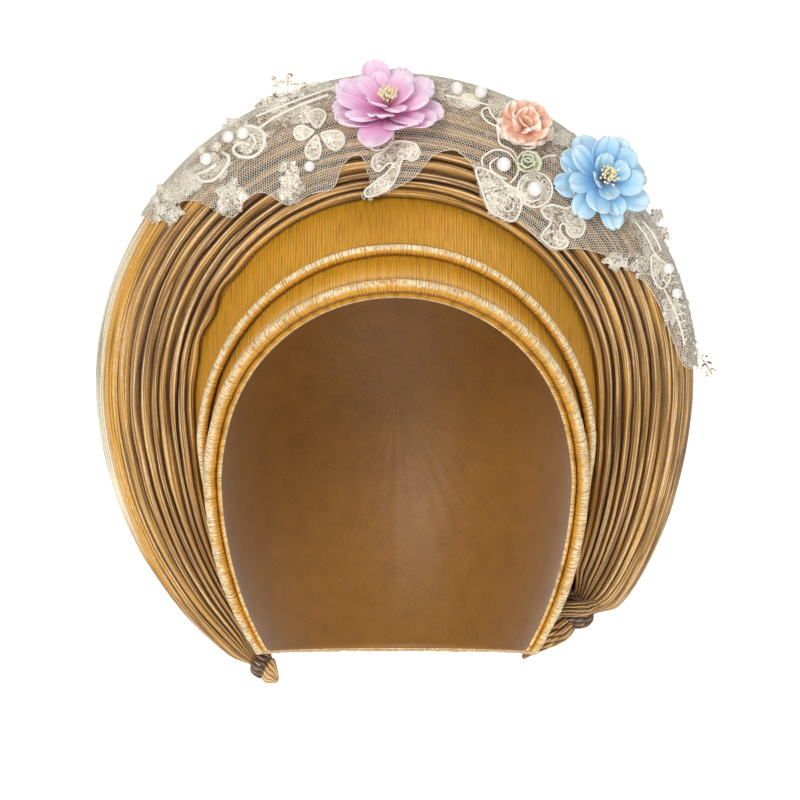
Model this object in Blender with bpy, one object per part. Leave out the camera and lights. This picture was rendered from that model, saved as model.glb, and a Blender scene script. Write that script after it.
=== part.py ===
"""Turban hat: a pre-tied pleated head wrap with lace, flowers and pearls.

Lengths are in millimetres until a mesh is made. X is the wearer's left, Y runs back and Z up, and
the origin is where the crown rests on the head. Most cloth is laid out in polar form: an angle
round a hub behind the face, seen from the front, and for each angle a profile in radius and depth.
"""
import math

import bmesh
import bpy
import numpy as np
from mathutils import Matrix, Vector

MM = 0.001

# Head space: an ellipsoid with a longer lower half
HEAD_HALF_X = 80.0
HEAD_HALF_Y = 94.0
HEAD_UPPER = 100.0
HEAD_LOWER = 150.0
HUB_Z = -85.0

# Layers, as distances above the head's surface
CAP_WALL = 1.6
CAP_SETBACK = 0.8
CAP_SHARES = (0.0, 0.13, 0.3, 0.5, 0.7, 0.87)
ROLL_RADIUS, NAPE_RADIUS = 2.9, 1.9
ROLL_FLOOR = 2.2
ROLL_SIDES = 7
ROLL_BLEND = (20.0, 42.0)
INNER_FLOOR, INNER_TOP = 2.7, 4.2
INNER_SWELL = 0.5
OUTER_FLOOR, OUTER_TOP = 5.2, 6.6
LIP_RADIUS = 2.3
LIP_THIN, LIP_THIN_SPAN = 0.35, 18.0
LIP_TURNS = (-90, -130, -170, -210, -250, -290, -330, -375)
LIP_CLEARANCE = 3.0
BAND_TUCK = 5.0
BAND_GAP = 0.8
SHEET_FLOOR, SHEET_TOP = 2.8, 4.4

# Openings of the face: depth of each edge falls back with height below its top point
RIM_TOP_Z, RIM_TOP_Y, RIM_SLOPE = -45.0, -82.5, 0.76
RIM_KNEE_Z, RIM_LOW_SLOPE = -128.0, 0.45
LIP_TOP_Z, LIP_TOP_Y, LIP_SLOPE = -29.0, -74.0, 0.686
LIP_KNEE_Z, LIP_LOW_SLOPE = -37.0, 0.628
HEM_Z = -203.0
BAND_SPAN = (-34.0, 214.0)
BAND_STATIONS = 27

# Angles of the cap's stations: even round the face, closer at the two corners of the nape
FACE_START, FACE_STEP, FACE_STATIONS = -48.0, 10.2, 28
NAPE_ANGLES = (234.0, 240.0, 244.0, 247.0, 251.0, 257.0, 264.0, 270.0, 276.0, 283.0, 289.0, 293.0,
               296.0, 300.0, 306.0)

# Pleated fan: one row per angle, (angle, inner radius, outer radius, inner depth, outer depth)
FAN_TABLE = (
    (-50.0, 117.5, 139.0, 29.0, 38.0),
    (-43.0, 110.5, 138.5, 26.0, 37.0),
    (-37.0, 105.0, 136.5, 22.5, 35.0),
    (-27.0, 97.6, 133.0, 15.0, 30.0),
    (-17.0, 92.4, 130.5, 7.0, 24.0),
    (-8.0, 89.2, 129.5, 0.0, 18.5),
    (13.0, 86.6, 129.5, -16.0, 8.0),
    (43.0, 83.0, 130.0, -37.0, -10.0),
    (68.0, 81.0, 131.0, -47.0, -21.0),
    (92.0, 80.8, 132.0, -49.5, -25.0),
    (120.0, 82.6, 131.5, -45.0, -19.0),
    (146.0, 84.5, 131.0, -35.0, -7.0),
    (160.0, 86.0, 131.0, -25.0, 1.0),
    (180.0, 88.5, 131.0, -10.0, 12.0),
    (195.0, 91.6, 131.5, 4.0, 20.0),
    (205.0, 96.0, 133.0, 13.0, 27.0),
    (218.0, 104.5, 135.5, 23.0, 34.0),
    (229.0, 114.0, 138.5, 28.5, 37.0),
    (236.0, 121.0, 140.5, 31.0, 39.0),
    (243.0, 131.0, 142.5, 33.0, 40.5),
)
FULL_WIDTH = 42.0
PLEATS = 8
PLEAT_DEPTH = 3.0
PLEAT_FRONT = ((0.0, 0.0), (0.22, 0.78), (0.5, 1.0), (0.78, 0.78))
PLEAT_BACK = ((0.0, 0.0), (0.5, 1.0))
CLOTH_WALL = 1.5
FAN_BULGE = 6.0
FAN_STATIONS = 31
FAN_TUCK = 12.0
DRAPE_SHARE = 0.79
DRAPE_START, DRAPE_SHOULDER = 0.835, 0.9
DRAPE_WALL = 1.6
FOLD_RADIUS = 6.0
DRAPE_FOLD = (-50, 0, 45, 90)
DRAPE_SWELL = 2.4
DRAPE_SAG = 2.5
DRAPE_RETURN = 21.0
DRAPE_SEAT = 3.0

# Lace: (angle, radius of its scalloped lower edge)
LACE_EDGE = (
    (3.0, 126.0),
    (12.0, 120.0),
    (19.0, 110.0),
    (27.0, 105.0),
    (35.0, 99.0),
    (40.0, 89.0),
    (47.0, 96.0),
    (54.0, 87.0),
    (60.0, 97.0),
    (68.0, 110.0),
    (77.0, 101.0),
    (84.0, 84.5),
    (91.0, 83.0),
    (97.0, 84.0),
    (101.0, 100.0),
    (109.0, 97.0),
    (117.0, 90.0),
    (124.0, 90.0),
    (129.0, 108.0),
    (135.0, 106.0),
    (141.0, 107.0),
    (147.0, 124.0),
)
LACE_WALL = 1.0
LACE_GAP = 0.7
LACE_STATIONS = 36
LACE_RETURN = 0.75

# Flowers: centre and size across as seen from the front, height, petals in two tiers, axis tilt
# and turn in degrees, material name
FLOWERS = (
    ("pink_flower", -4.0, 30.0, 52.0, 15.0, 8, 5, 46.0, 0.0, "pink_petal"),
    ("blue_flower", 87.5, 2.5, 43.0, 14.0, 8, 5, 14.0, 24.0, "blue_petal"),
    ("peach_flower", 55.0, 25.5, 25.0, 10.0, 6, 5, 26.0, 12.0, "peach_petal"),
    ("green_bud", 56.5, 10.5, 11.0, 6.5, 3, 2, 8.0, 6.0, "green_petal"),
)
FLOWER_GAP = 0.45
FLOWER_EYE = 0.68
STAMEN_RADIUS, STAMEN_HEIGHT, STAMEN_GAP = 3.6, 5.0, 0.7

# Pearls: (name, x, z, radius)
PEARLS = (
    ("pearl_spiral_upper", 45.5, 9.0, 3.2),
    ("pearl_spiral_lower", 58.7, -1.3, 3.3),
    ("pearl_top_left", 25.7, 42.0, 2.8),
    ("pearl_top_right", 36.0, 40.5, 2.8),
    ("pearl_scroll_upper", -65.8, 22.8, 2.7),
    ("pearl_scroll_side", -72.2, 21.4, 2.7),
    ("pearl_scroll_lower", -81.6, 11.9, 2.8),
    ("pearl_small", -37.2, 8.4, 2.3),
    ("pearl_edge_upper", 117.7, -34.8, 2.4),
    ("pearl_edge_lower", 121.5, -45.5, 2.3),
)
PEARL_SEAT = 0.3

# Gathered ends, as stations in polar form: (angle, centre radius, centre depth, half width, half depth)
LEFT_TIE = (
    (243.2, 137.5, 39.5, 4.5, 4.5),
    (243.8, 138.0, 39.5, 6.0, 6.2),
    (244.8, 138.5, 39.5, 6.0, 6.0),
    (245.3, 138.5, 39.5, 4.5, 4.5),
)
LEFT_TAIL = (
    (245.5, 139.0, 38.5, 6.2, 5.0),
    (246.3, 139.6, 38.0, 5.4, 4.6),
    (247.3, 140.8, 37.4, 3.2, 3.4),
    (248.3, 142.0, 36.8, 1.0, 1.0),
)
RIGHT_TIE = (
    (-50.2, 127.5, 37.0, 8.5, 6.8),
    (-51.0, 127.0, 37.0, 10.6, 9.2),
    (-53.2, 126.5, 37.0, 10.2, 9.0),
    (-54.0, 126.5, 37.0, 7.6, 6.5),
)
RIGHT_STRAP = (
    (-48.8, 131.0, 26.0, 2.6, 1.6),
    (-50.5, 129.0, 25.2, 3.6, 2.4),
    (-53.0, 125.5, 25.4, 3.6, 2.4),
    (-56.0, 121.0, 26.0, 2.8, 2.0),
)
RIGHT_TAIL = (
    (-54.3, 129.2, 38.0, 7.0, 6.4),
    (-57.5, 129.2, 37.0, 7.2, 5.6),
    (-60.8, 130.0, 37.0, 5.8, 4.4),
    (-63.2, 131.8, 39.4, 3.2, 2.4),
    (-65.2, 134.0, 40.0, 0.8, 0.8),
)
TIE_SIDES = 10

# Loose lace sprigs at the edge: places as seen from the front
STAR_CENTRE, STAR_REACH, STAR_ARMS = (-47.5, 41.5), 8.2, 6
STRAND_START, STRAND_END, STRAND_LEAVES = (126.0, -64.0), (139.5, -81.5), 4
SPRIG_WALL = 1.1


def clear_scene():
    """Remove whatever the open file holds."""
    for item in list(bpy.data.objects):
        bpy.data.objects.remove(item, do_unlink=True)


def make_material(name, colour, roughness, metallic=0.0):
    """A Principled material with one colour."""
    material = bpy.data.materials.new(name)
    material.use_nodes = True
    shader = material.node_tree.nodes["Principled BSDF"]
    shader.inputs["Base Color"].default_value = (*colour, 1.0)
    shader.inputs["Roughness"].default_value = roughness
    shader.inputs["Metallic"].default_value = metallic
    return material


def add_mesh(name, points, faces, material):
    """Make one closed object from millimetre points, its faces turned outwards."""
    mesh = bpy.data.meshes.new(name)
    mesh.from_pydata([tuple(c * MM for c in p) for p in points], [], faces)
    work = bmesh.new()
    work.from_mesh(mesh)
    bmesh.ops.recalc_face_normals(work, faces=work.faces)
    if work.calc_volume(signed=True) < 0.0:
        bmesh.ops.reverse_faces(work, faces=work.faces)
    bmesh.ops.triangulate(work, faces=[f for f in work.faces if len(f.verts) > 4])
    work.to_mesh(mesh)
    work.free()
    mesh.materials.append(material)
    item = bpy.data.objects.new(name, mesh)
    bpy.context.scene.collection.objects.link(item)
    mesh.shade_smooth()
    return item


def skin(name, loops, material, ring=False, poles=None):
    """Join closed loops of points one after another into one solid.

    The path is a ring, or it ends in two flat caps, or in two pole points.
    """
    count = len(loops[0])
    points = [tuple(p) for loop in loops for p in loop]
    faces = []
    spans = len(loops) if ring else len(loops) - 1
    for i in range(spans):
        a, b = i * count, ((i + 1) % len(loops)) * count
        for j in range(count):
            k = (j + 1) % count
            faces.append((a + j, a + k, b + k, b + j))
    last = (len(loops) - 1) * count
    if poles:
        first_pole = len(points)
        points += [tuple(poles[0]), tuple(poles[1])]
        for j in range(count):
            k = (j + 1) % count
            faces.append((k, j, first_pole))
            faces.append((last + j, last + k, first_pole + 1))
    elif not ring:
        faces.append(tuple(reversed(range(count))))
        faces.append(tuple(range(last, last + count)))
    return add_mesh(name, points, faces, material)


def smooth_step(low, high, value):
    """Rise from 0 at low to 1 at high with level ends."""
    share = min(1.0, max(0.0, (value - low) / (high - low)))
    return share * share * (3.0 - 2.0 * share)


def table_value(table, angle, column):
    """Read a column of an angle table by a smooth curve through its rows."""
    angles = [row[0] for row in table]
    values = [row[column] for row in table]
    if angle <= angles[0]:
        return values[0]
    if angle >= angles[-1]:
        return values[-1]
    i = next(n for n in range(1, len(angles)) if angle <= angles[n]) - 1
    slopes = []
    for n in (i, i + 1):
        before, after = max(n - 1, 0), min(n + 1, len(angles) - 1)
        slopes.append((values[after] - values[before]) / (angles[after] - angles[before]))
    width = angles[i + 1] - angles[i]
    t = (angle - angles[i]) / width
    t2, t3 = t * t, t * t * t
    return ((2 * t3 - 3 * t2 + 1) * values[i] + (t3 - 2 * t2 + t) * width * slopes[0]
            + (3 * t2 - 2 * t3) * values[i + 1] + (t3 - t2) * width * slopes[1])


def polar_point(angle, radius, depth):
    """A point from its angle round the hub, its radius and its depth."""
    turn = math.radians(angle)
    return np.array((radius * math.cos(turn), depth, HUB_Z + radius * math.sin(turn)))


def head_point(angle, tilt, lift=0.0):
    """A point on the head's surface, or lifted off it, from two angles about the hub."""
    turn, lean = math.radians(angle), math.radians(tilt)
    ray = np.array((math.sin(lean) * math.cos(turn), -math.cos(lean), math.sin(lean) * math.sin(turn)))
    rise = HUB_Z + HEAD_UPPER
    for half_z in (HEAD_UPPER, HEAD_LOWER):
        scale = np.array((HEAD_HALF_X, HEAD_HALF_Y, half_z))
        a = float(np.sum((ray / scale) ** 2))
        b = rise * ray[2] / half_z ** 2
        c = (rise / half_z) ** 2 - 1.0
        reach = (-b + math.sqrt(b * b - a * c)) / a
        if (rise + reach * ray[2] >= 0.0) == (half_z == HEAD_UPPER):
            break
    centred = reach * ray + np.array((0.0, 0.0, rise))
    normal = centred / scale ** 2
    normal /= np.linalg.norm(normal)
    return reach * ray + np.array((0.0, 0.0, HUB_Z)) + lift * normal


def head_normal(angle, tilt):
    """The outward direction of the head's surface."""
    return head_point(angle, tilt, 1.0) - head_point(angle, tilt)


def kneed_depth(z, top_z, top_y, slope, knee_z, low_slope):
    """Depth of a leaning edge at a height, steeper under its knee."""
    upper = top_z - max(z, knee_z)
    lower = knee_z - min(z, knee_z)
    return top_y + upper * slope + lower * low_slope


def rim_depth(z):
    """Depth of the rim's edge at a height."""
    return kneed_depth(z, RIM_TOP_Z, RIM_TOP_Y, RIM_SLOPE, RIM_KNEE_Z, RIM_LOW_SLOPE)


def lip_depth(z):
    """Depth of the outer band's lip at a height."""
    return kneed_depth(z, LIP_TOP_Z, LIP_TOP_Y, LIP_SLOPE, LIP_KNEE_Z, LIP_LOW_SLOPE)


def edge_tilt(angle, depth_at, floor_z):
    """Tilt at which the surface, followed from the back, first meets an edge's plane or floor."""
    def inside(tilt):
        point = head_point(angle, tilt)
        return point[1] >= depth_at(point[2]) and point[2] >= floor_z
    tilt = 179.0
    while inside(tilt) and tilt > 5.0:
        tilt -= 1.0
    low, high = tilt, tilt + 1.0
    for _ in range(24):
        middle = 0.5 * (low + high)
        if inside(middle):
            high = middle
        else:
            low = middle
    return high


def rim_tilt(angle):
    """Where the cap ends, round the face and the nape."""
    return edge_tilt(angle, rim_depth, HEM_Z)


def lip_tilt(angle):
    """Where the outer band's lip lies."""
    return edge_tilt(angle, lip_depth, HEM_Z)


def step_tilt(angle, tilt, length):
    """The tilt reached after a length along the surface."""
    probe = 0.5
    speed = np.linalg.norm(head_point(angle, tilt + probe) - head_point(angle, tilt)) / probe
    return tilt + length / speed


def edge_frame(angle, tilt_at):
    """Point of an edge, its direction away from the opening and the outward normal."""
    tilt = tilt_at(angle)
    here = head_point(angle, tilt)
    tangent = head_point(angle + 1.0, tilt_at(angle + 1.0)) - head_point(angle - 1.0, tilt_at(angle - 1.0))
    normal = head_normal(angle, tilt)
    inward = np.cross(normal, tangent)
    back = head_point(angle, tilt + 1.0) - here
    inward *= math.copysign(1.0 / np.linalg.norm(inward), float(inward @ back))
    return here, inward, normal


def clear_tilt(angle, tilt_at, distance):
    """The tilt that lies a distance from an edge, measured square to the edge."""
    tilt = tilt_at(angle)
    here, inward, _ = edge_frame(angle, tilt_at)
    back = head_point(angle, tilt + 1.0) - here
    return step_tilt(angle, tilt, distance * np.linalg.norm(back) / float(inward @ back))


def cap_angles():
    """Angles of the cap's stations."""
    return [FACE_START + FACE_STEP * i for i in range(FACE_STATIONS)] + list(NAPE_ANGLES)


def build_crown_cap(material):
    """Thin dome over the crown and back of the head, open at the face and neck."""
    angles = cap_angles()
    starts = [step_tilt(a, rim_tilt(a), CAP_SETBACK) for a in angles]
    loops = []
    for lift, order in ((0.0, reversed(CAP_SHARES)), (CAP_WALL, CAP_SHARES)):
        for share in order:
            loops.append([head_point(a, s + (179.9 - s) * share, lift) for a, s in zip(angles, starts)])
    poles = (head_point(0.0, 179.99), head_point(0.0, 179.99, CAP_WALL))
    return skin("crown_cap", loops, material, poles=poles)


def build_rim_roll(material):
    """Padded roll that closes the cap's edge, right round the face and nape."""
    loops = []
    for angle in cap_angles():
        edge, inward, normal = edge_frame(angle, rim_tilt)
        from_nape = abs((angle - 90.0) % 360.0 - 180.0)
        radius = NAPE_RADIUS + (ROLL_RADIUS - NAPE_RADIUS) * smooth_step(*ROLL_BLEND, from_nape)
        centre = edge + inward * radius + normal * (ROLL_FLOOR + radius)
        loops.append([centre + radius * (math.cos(w) * inward + math.sin(w) * normal)
                      for w in (2.0 * math.pi * (k + 0.5) / ROLL_SIDES for k in range(ROLL_SIDES))])
    return skin("rim_roll", loops, material, ring=True)


def span_angles(low, high, count):
    """Evenly spaced angles from low to high."""
    return [low + (high - low) * i / (count - 1) for i in range(count)]


def build_inner_band(material):
    """Sheet from behind the rim roll to under the outer band's lip, slightly full."""
    loops = []
    for angle in span_angles(*BAND_SPAN, BAND_STATIONS):
        start = clear_tilt(angle, rim_tilt, 2.0 * ROLL_RADIUS + BAND_GAP)
        end = clear_tilt(angle, lip_tilt, BAND_TUCK)
        top, floor = [], []
        for share, full in ((0.0, 0.5), (0.2, 1.0), (0.4, 0.8), (0.7, 0.2), (1.0, 0.0)):
            tilt = start + (end - start) * share
            top.append(head_point(angle, tilt, INNER_TOP + INNER_SWELL * full))
            floor.append(head_point(angle, tilt, INNER_FLOOR))
        loops.append(top + floor[::-1])
    return skin("inner_band", loops, material)


def build_outer_band(material):
    """Second fold: a rolled lower lip and a sheet that runs up under the fan."""
    loops = []
    for angle in span_angles(*BAND_SPAN, BAND_STATIONS):
        near = min(angle - BAND_SPAN[0], BAND_SPAN[1] - angle)
        radius = LIP_RADIUS * (LIP_THIN + (1.0 - LIP_THIN) * smooth_step(0.0, LIP_THIN_SPAN, near))
        edge, along, normal = edge_frame(angle, lip_tilt)
        centre = edge + along * radius + normal * (OUTER_FLOOR + radius)
        roll = []
        for degrees in LIP_TURNS:
            w = math.radians(degrees)
            roll.append(centre + radius * (math.cos(w) * along + math.sin(w) * normal))
        start = clear_tilt(angle, lip_tilt, 2.0 * radius + LIP_CLEARANCE)
        end = max(fan_tuck_tilt(angle), start + 4.0)
        top, floor = [], []
        for share in (0.0, 0.25, 0.6, 1.0):
            tilt = start + (end - start) * share
            sink = smooth_step(-0.2, 0.9, share)
            top.append(head_point(angle, tilt, OUTER_TOP + sink * (SHEET_TOP - OUTER_TOP)))
            floor.append(head_point(angle, tilt, OUTER_FLOOR + sink * (SHEET_FLOOR - OUTER_FLOOR)))
        loops.append(roll + top + floor[::-1])
    return skin("outer_band", loops, material)


def fan_tuck_tilt(angle):
    """Tilt of a line a little behind the fan's inner edge."""
    radius = table_value(FAN_TABLE, angle, 1)
    depth = table_value(FAN_TABLE, angle, 3) + FAN_TUCK
    return math.degrees(math.atan2(radius, -depth))


def fan_line(angle, share):
    """Radius and depth of the fan's smooth middle surface, and its forward normal."""
    def place(value):
        inner, outer = table_value(FAN_TABLE, angle, 1), table_value(FAN_TABLE, angle, 2)
        near, far = table_value(FAN_TABLE, angle, 3), table_value(FAN_TABLE, angle, 4)
        width = outer - inner
        bulge = FAN_BULGE * min(1.0, width / FULL_WIDTH) ** 1.5
        swell = bulge * math.sin(math.pi * value)
        return np.array((inner + width * value, near + (far - near) * value - swell))
    here = place(share)
    ahead = place(share + 0.01) - place(share - 0.01)
    ahead /= np.linalg.norm(ahead)
    return here, np.array((ahead[1], -ahead[0]))


def fan_offset(angle, share, lift):
    """Point at a height in front of the fan's middle surface."""
    here, normal = fan_line(angle, share)
    return here + normal * lift


def pleat_height(angle):
    """Ridge height, lower where the fan is gathered."""
    width = table_value(FAN_TABLE, angle, 2) - table_value(FAN_TABLE, angle, 1)
    return PLEAT_DEPTH * min(1.0, 0.25 + 0.75 * (width / FULL_WIDTH) ** 1.5)


def build_pleat_fan(material):
    """Front cloth of the halo: a wall with rounded ridges and sharp valleys."""
    loops = []
    for angle in span_angles(FAN_TABLE[0][0], FAN_TABLE[-1][0], FAN_STATIONS):
        height = pleat_height(angle)
        front, back = [], []
        for pleat in range(PLEATS):
            for part, rise in PLEAT_FRONT:
                share = DRAPE_SHARE * (pleat + part) / PLEATS
                front.append(fan_offset(angle, share, height * rise))
            for part, rise in PLEAT_BACK:
                share = DRAPE_SHARE * (pleat + part) / PLEATS
                back.append(fan_offset(angle, share, height * rise - CLOTH_WALL))
        front.append(fan_offset(angle, DRAPE_SHARE, 0.0))
        back.append(fan_offset(angle, DRAPE_SHARE, -CLOTH_WALL))
        loops.append([polar_point(angle, *spot) for spot in front + back[::-1]])
    return skin("pleat_fan", loops, material)


def drape_gather(angle):
    """Share of the drape's full size, less where the fan's ends are gathered."""
    width = table_value(FAN_TABLE, angle, 2) - table_value(FAN_TABLE, angle, 1)
    return min(1.0, 0.2 + 0.8 * width / FULL_WIDTH)


def drape_profile(angle, lift):
    """Line of the outer drape: front lip, shoulder, outer fold, then back down to the cap."""
    gather = drape_gather(angle)
    start, _ = fan_line(angle, DRAPE_START)
    shoulder, _ = fan_line(angle, DRAPE_SHOULDER)
    outer, far = table_value(FAN_TABLE, angle, 2), table_value(FAN_TABLE, angle, 4)
    fold = FOLD_RADIUS * gather
    spots = [start + np.array((-lift * 0.15, -0.2 - lift)),
             shoulder + np.array((0.0, -DRAPE_SWELL * gather - lift))]
    for degrees in DRAPE_FOLD:
        w = math.radians(degrees)
        spots.append(np.array((outer - fold + (fold + lift) * math.cos(w),
                               far + (fold + lift) * math.sin(w))))
    inner = table_value(FAN_TABLE, angle, 1)
    near = table_value(FAN_TABLE, angle, 3) + CLOTH_WALL + DRAPE_RETURN * gather
    seat = head_point(angle, math.degrees(math.atan2(inner, -near)), DRAPE_SEAT)
    tuck = np.array((math.hypot(seat[0], seat[2] - HUB_Z), seat[1]))
    top = np.array((outer - fold, far + fold))
    for share in (0.42, 1.0):
        sag = np.array((0.0, DRAPE_SAG * gather * math.sin(math.pi * share)))
        spots.append(top + (tuck - top) * share + sag + np.array((0.0, lift)))
    return spots


def build_outer_drape(material):
    """Broad outermost layer, folded over the halo's edge and brought back to the cap."""
    loops = []
    for angle in span_angles(FAN_TABLE[0][0], FAN_TABLE[-1][0], FAN_STATIONS):
        outside = drape_profile(angle, DRAPE_WALL * drape_gather(angle))
        inside = drape_profile(angle, 0.0)
        loops.append([polar_point(angle, *spot) for spot in outside + inside[::-1]])
    return skin("outer_drape", loops, material)


def lace_line(angle, lift):
    """Line of the lace over the fan's ridges, round the fold and down the back."""
    inner, outer = table_value(FAN_TABLE, angle, 1), table_value(FAN_TABLE, angle, 2)
    edge = (table_value(LACE_EDGE, angle, 1) - inner) / (outer - inner)
    edge = min(max(edge, 0.03), DRAPE_SHARE - 0.05)
    height = pleat_height(angle) + LACE_GAP + lift
    spots = [fan_offset(angle, edge + (DRAPE_SHARE - edge) * share, height)
             for share in (0.0, 0.35, 0.7, 1.0)]
    over = drape_profile(angle, DRAPE_WALL + LACE_GAP + lift)
    return spots + over[1:6] + [over[5] + (over[6] - over[5]) * LACE_RETURN]


def build_lace(material):
    """Net skin with a scalloped lower edge, laid over the top of the fan."""
    loops = []
    for angle in span_angles(LACE_EDGE[0][0], LACE_EDGE[-1][0], LACE_STATIONS):
        outside, inside = lace_line(angle, LACE_WALL), lace_line(angle, 0.0)
        loops.append([polar_point(angle, *spot) for spot in outside + inside[::-1]])
    return skin("lace_applique", loops, material)


def lace_seat(x, z):
    """Point on the lace's outer face behind a place seen from the front, and its normal."""
    angle = math.degrees(math.atan2(z - HUB_Z, x)) % 360.0
    angle = angle - 360.0 if angle > 300.0 else angle
    radius = math.hypot(x, z - HUB_Z)
    line = lace_line(angle, LACE_WALL)
    line = [fan_offset(angle, 0.0, pleat_height(angle) + LACE_GAP + LACE_WALL)] + line[:7]
    step = next((n for n in range(1, len(line)) if line[n][0] >= radius), len(line) - 1)
    share = min(1.0, max(0.0, (radius - line[step - 1][0]) / (line[step][0] - line[step - 1][0])))
    spot = line[step - 1] + (line[step] - line[step - 1]) * share
    before, after = line[max(step - 2, 0)], line[min(step + 1, len(line) - 1)]
    along = (after - before) / np.linalg.norm(after - before)
    turn = math.radians(angle)
    normal = np.array((along[1] * math.cos(turn), -along[0], along[1] * math.sin(turn)))
    return polar_point(angle, *spot), normal


def petal_lobe(turn, petals, phase):
    """Share of the full radius at a turn round a ring of round petals."""
    return 0.74 + 0.26 * abs(math.cos(0.5 * petals * turn + phase)) ** 0.6


def rosette(name, seat, axis, radius, height, outer, inner, material):
    """Two tiers of petals on a short neck, fused into one body."""
    sides = outer * inner
    while sides < 12:
        sides *= 2
    rings = (
        (0.1, 0.0, 0, 0.0),
        (0.14, 0.2, 0, 0.0),
        (0.6, 0.36, outer, 0.0),
        (1.0, 0.6, outer, 0.0),
        (0.56, 0.62, outer, 0.0),
        (0.7, 0.95, inner, 0.6),
        (0.24, 0.78, 0, 0.0),
    )
    up = Vector(axis).normalized()
    turn_to = up.to_track_quat("Z", "Y").to_matrix()
    place = Matrix.Translation(Vector(seat)) @ turn_to.to_4x4()
    loops = []
    for share, rise, petals, phase in rings:
        loop = []
        for k in range(sides):
            turn = 2.0 * math.pi * k / sides
            reach = radius * share * (petal_lobe(turn, petals, phase) if petals else 1.0)
            loop.append(tuple(place @ Vector((reach * math.cos(turn), reach * math.sin(turn),
                                              height * rise))))
        loops.append(loop)
    poles = (tuple(place @ Vector((0, 0, 0))), tuple(place @ Vector((0, 0, height * FLOWER_EYE))))
    return skin(name, loops, material, poles=poles), place


def build_flowers():
    """Cloth flowers and the rolled bud, each on a neck that stands on the lace."""
    for name, x, z, across, height, outer, inner, tilt, turn, slot in FLOWERS:
        material = bpy.data.materials[slot]
        seat, normal = lace_seat(x, z)
        lean, aside = math.radians(tilt), math.radians(turn)
        axis = Vector((math.sin(aside) * math.cos(lean), -math.cos(aside) * math.cos(lean),
                       math.sin(lean)))
        neck = Vector(seat) + Vector(normal) * FLOWER_GAP + axis * FLOWER_GAP
        _, place = rosette(name, neck, axis, 0.5 * across, height, outer, inner, material)
        if name in ("pink_flower", "blue_flower"):
            build_stamens(name.replace("flower", "stamens"), place, height)


def build_stamens(name, place, height):
    """Small tuft of stamens fused on a button in the middle of a flower."""
    sides = 10
    foot = height * FLOWER_EYE + STAMEN_GAP
    loops = []
    for share, rise in ((0.45, 0.0), (0.8, 0.5), (1.0, 0.95), (0.45, 1.0)):
        loop = []
        for k in range(sides):
            turn = 2.0 * math.pi * k / sides
            ripple = 1.0 if k % 2 == 0 or share < 0.5 else 0.72
            reach = STAMEN_RADIUS * share * ripple
            loop.append(tuple(place @ Vector((reach * math.cos(turn), reach * math.sin(turn),
                                              foot + STAMEN_HEIGHT * rise))))
        loops.append(loop)
    poles = [tuple(place @ Vector((0, 0, end))) for end in (foot, foot + STAMEN_HEIGHT)]
    return skin(name, loops, bpy.data.materials["stamen_yellow"], poles=poles)


def build_pearls(material):
    """Round pearls, each seated on the lace."""
    sides, rings = 10, 5
    for name, x, z, radius in PEARLS:
        seat, normal = lace_seat(x, z)
        centre = seat + normal * (radius + PEARL_SEAT)
        loops = []
        for ring in range(1, rings):
            lean = math.pi * ring / rings
            loops.append([centre + radius * np.array((math.sin(lean) * math.cos(w), math.cos(lean),
                                                      math.sin(lean) * math.sin(w)))
                          for w in (2.0 * math.pi * k / sides for k in range(sides))])
        up = np.array((0.0, radius, 0.0))
        skin(name, loops, material, poles=(centre + up, centre - up))


def polar_loft(name, rows, material):
    """Solid through oval sections that each lie at one angle round the hub."""
    loops = []
    for angle, radius, depth, half_width, half_depth in rows:
        loops.append([polar_point(angle, radius + half_width * math.cos(w), depth + half_depth * math.sin(w))
                      for w in (2.0 * math.pi * k / TIE_SIDES for k in range(TIE_SIDES))])
    return skin(name, loops, material)


def plate(name, outline, depth, material):
    """Flat piece cut to an outline seen from the front."""
    loops = [[(x, depth + step, z) for x, z in outline] for step in (0.0, SPRIG_WALL)]
    return skin(name, loops, material)


def build_sprigs(material):
    """Two small sprigs of lace that stand past the edge."""
    cx, cz = STAR_CENTRE
    star = []
    for k in range(4 * STAR_ARMS):
        turn = math.pi * k / (2 * STAR_ARMS) + 0.2
        reach = STAR_REACH * (1.0, 0.62, 0.24, 0.62)[k % 4]
        star.append((cx + reach * math.cos(turn), cz + reach * math.sin(turn)))
    seat, _ = lace_seat(cx + 4.0, cz - 9.0)
    plate("lace_star", star, seat[1] - SPRIG_WALL + 0.7, material)
    start, end = np.array(STRAND_START), np.array(STRAND_END)
    along = (end - start) / np.linalg.norm(end - start)
    side = np.array((-along[1], along[0]))
    steps = 2 * STRAND_LEAVES
    left, right = [], []
    for k in range(steps + 1):
        spot = start + (end - start) * k / steps
        half = 0.7 if k % 2 == 0 else 2.3
        left.append(tuple(spot + side * half))
        right.append(tuple(spot - side * half))
    seat, _ = lace_seat(*STRAND_START)
    plate("lace_strand", left + right[::-1], seat[1] - SPRIG_WALL - 0.6, material)


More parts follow.
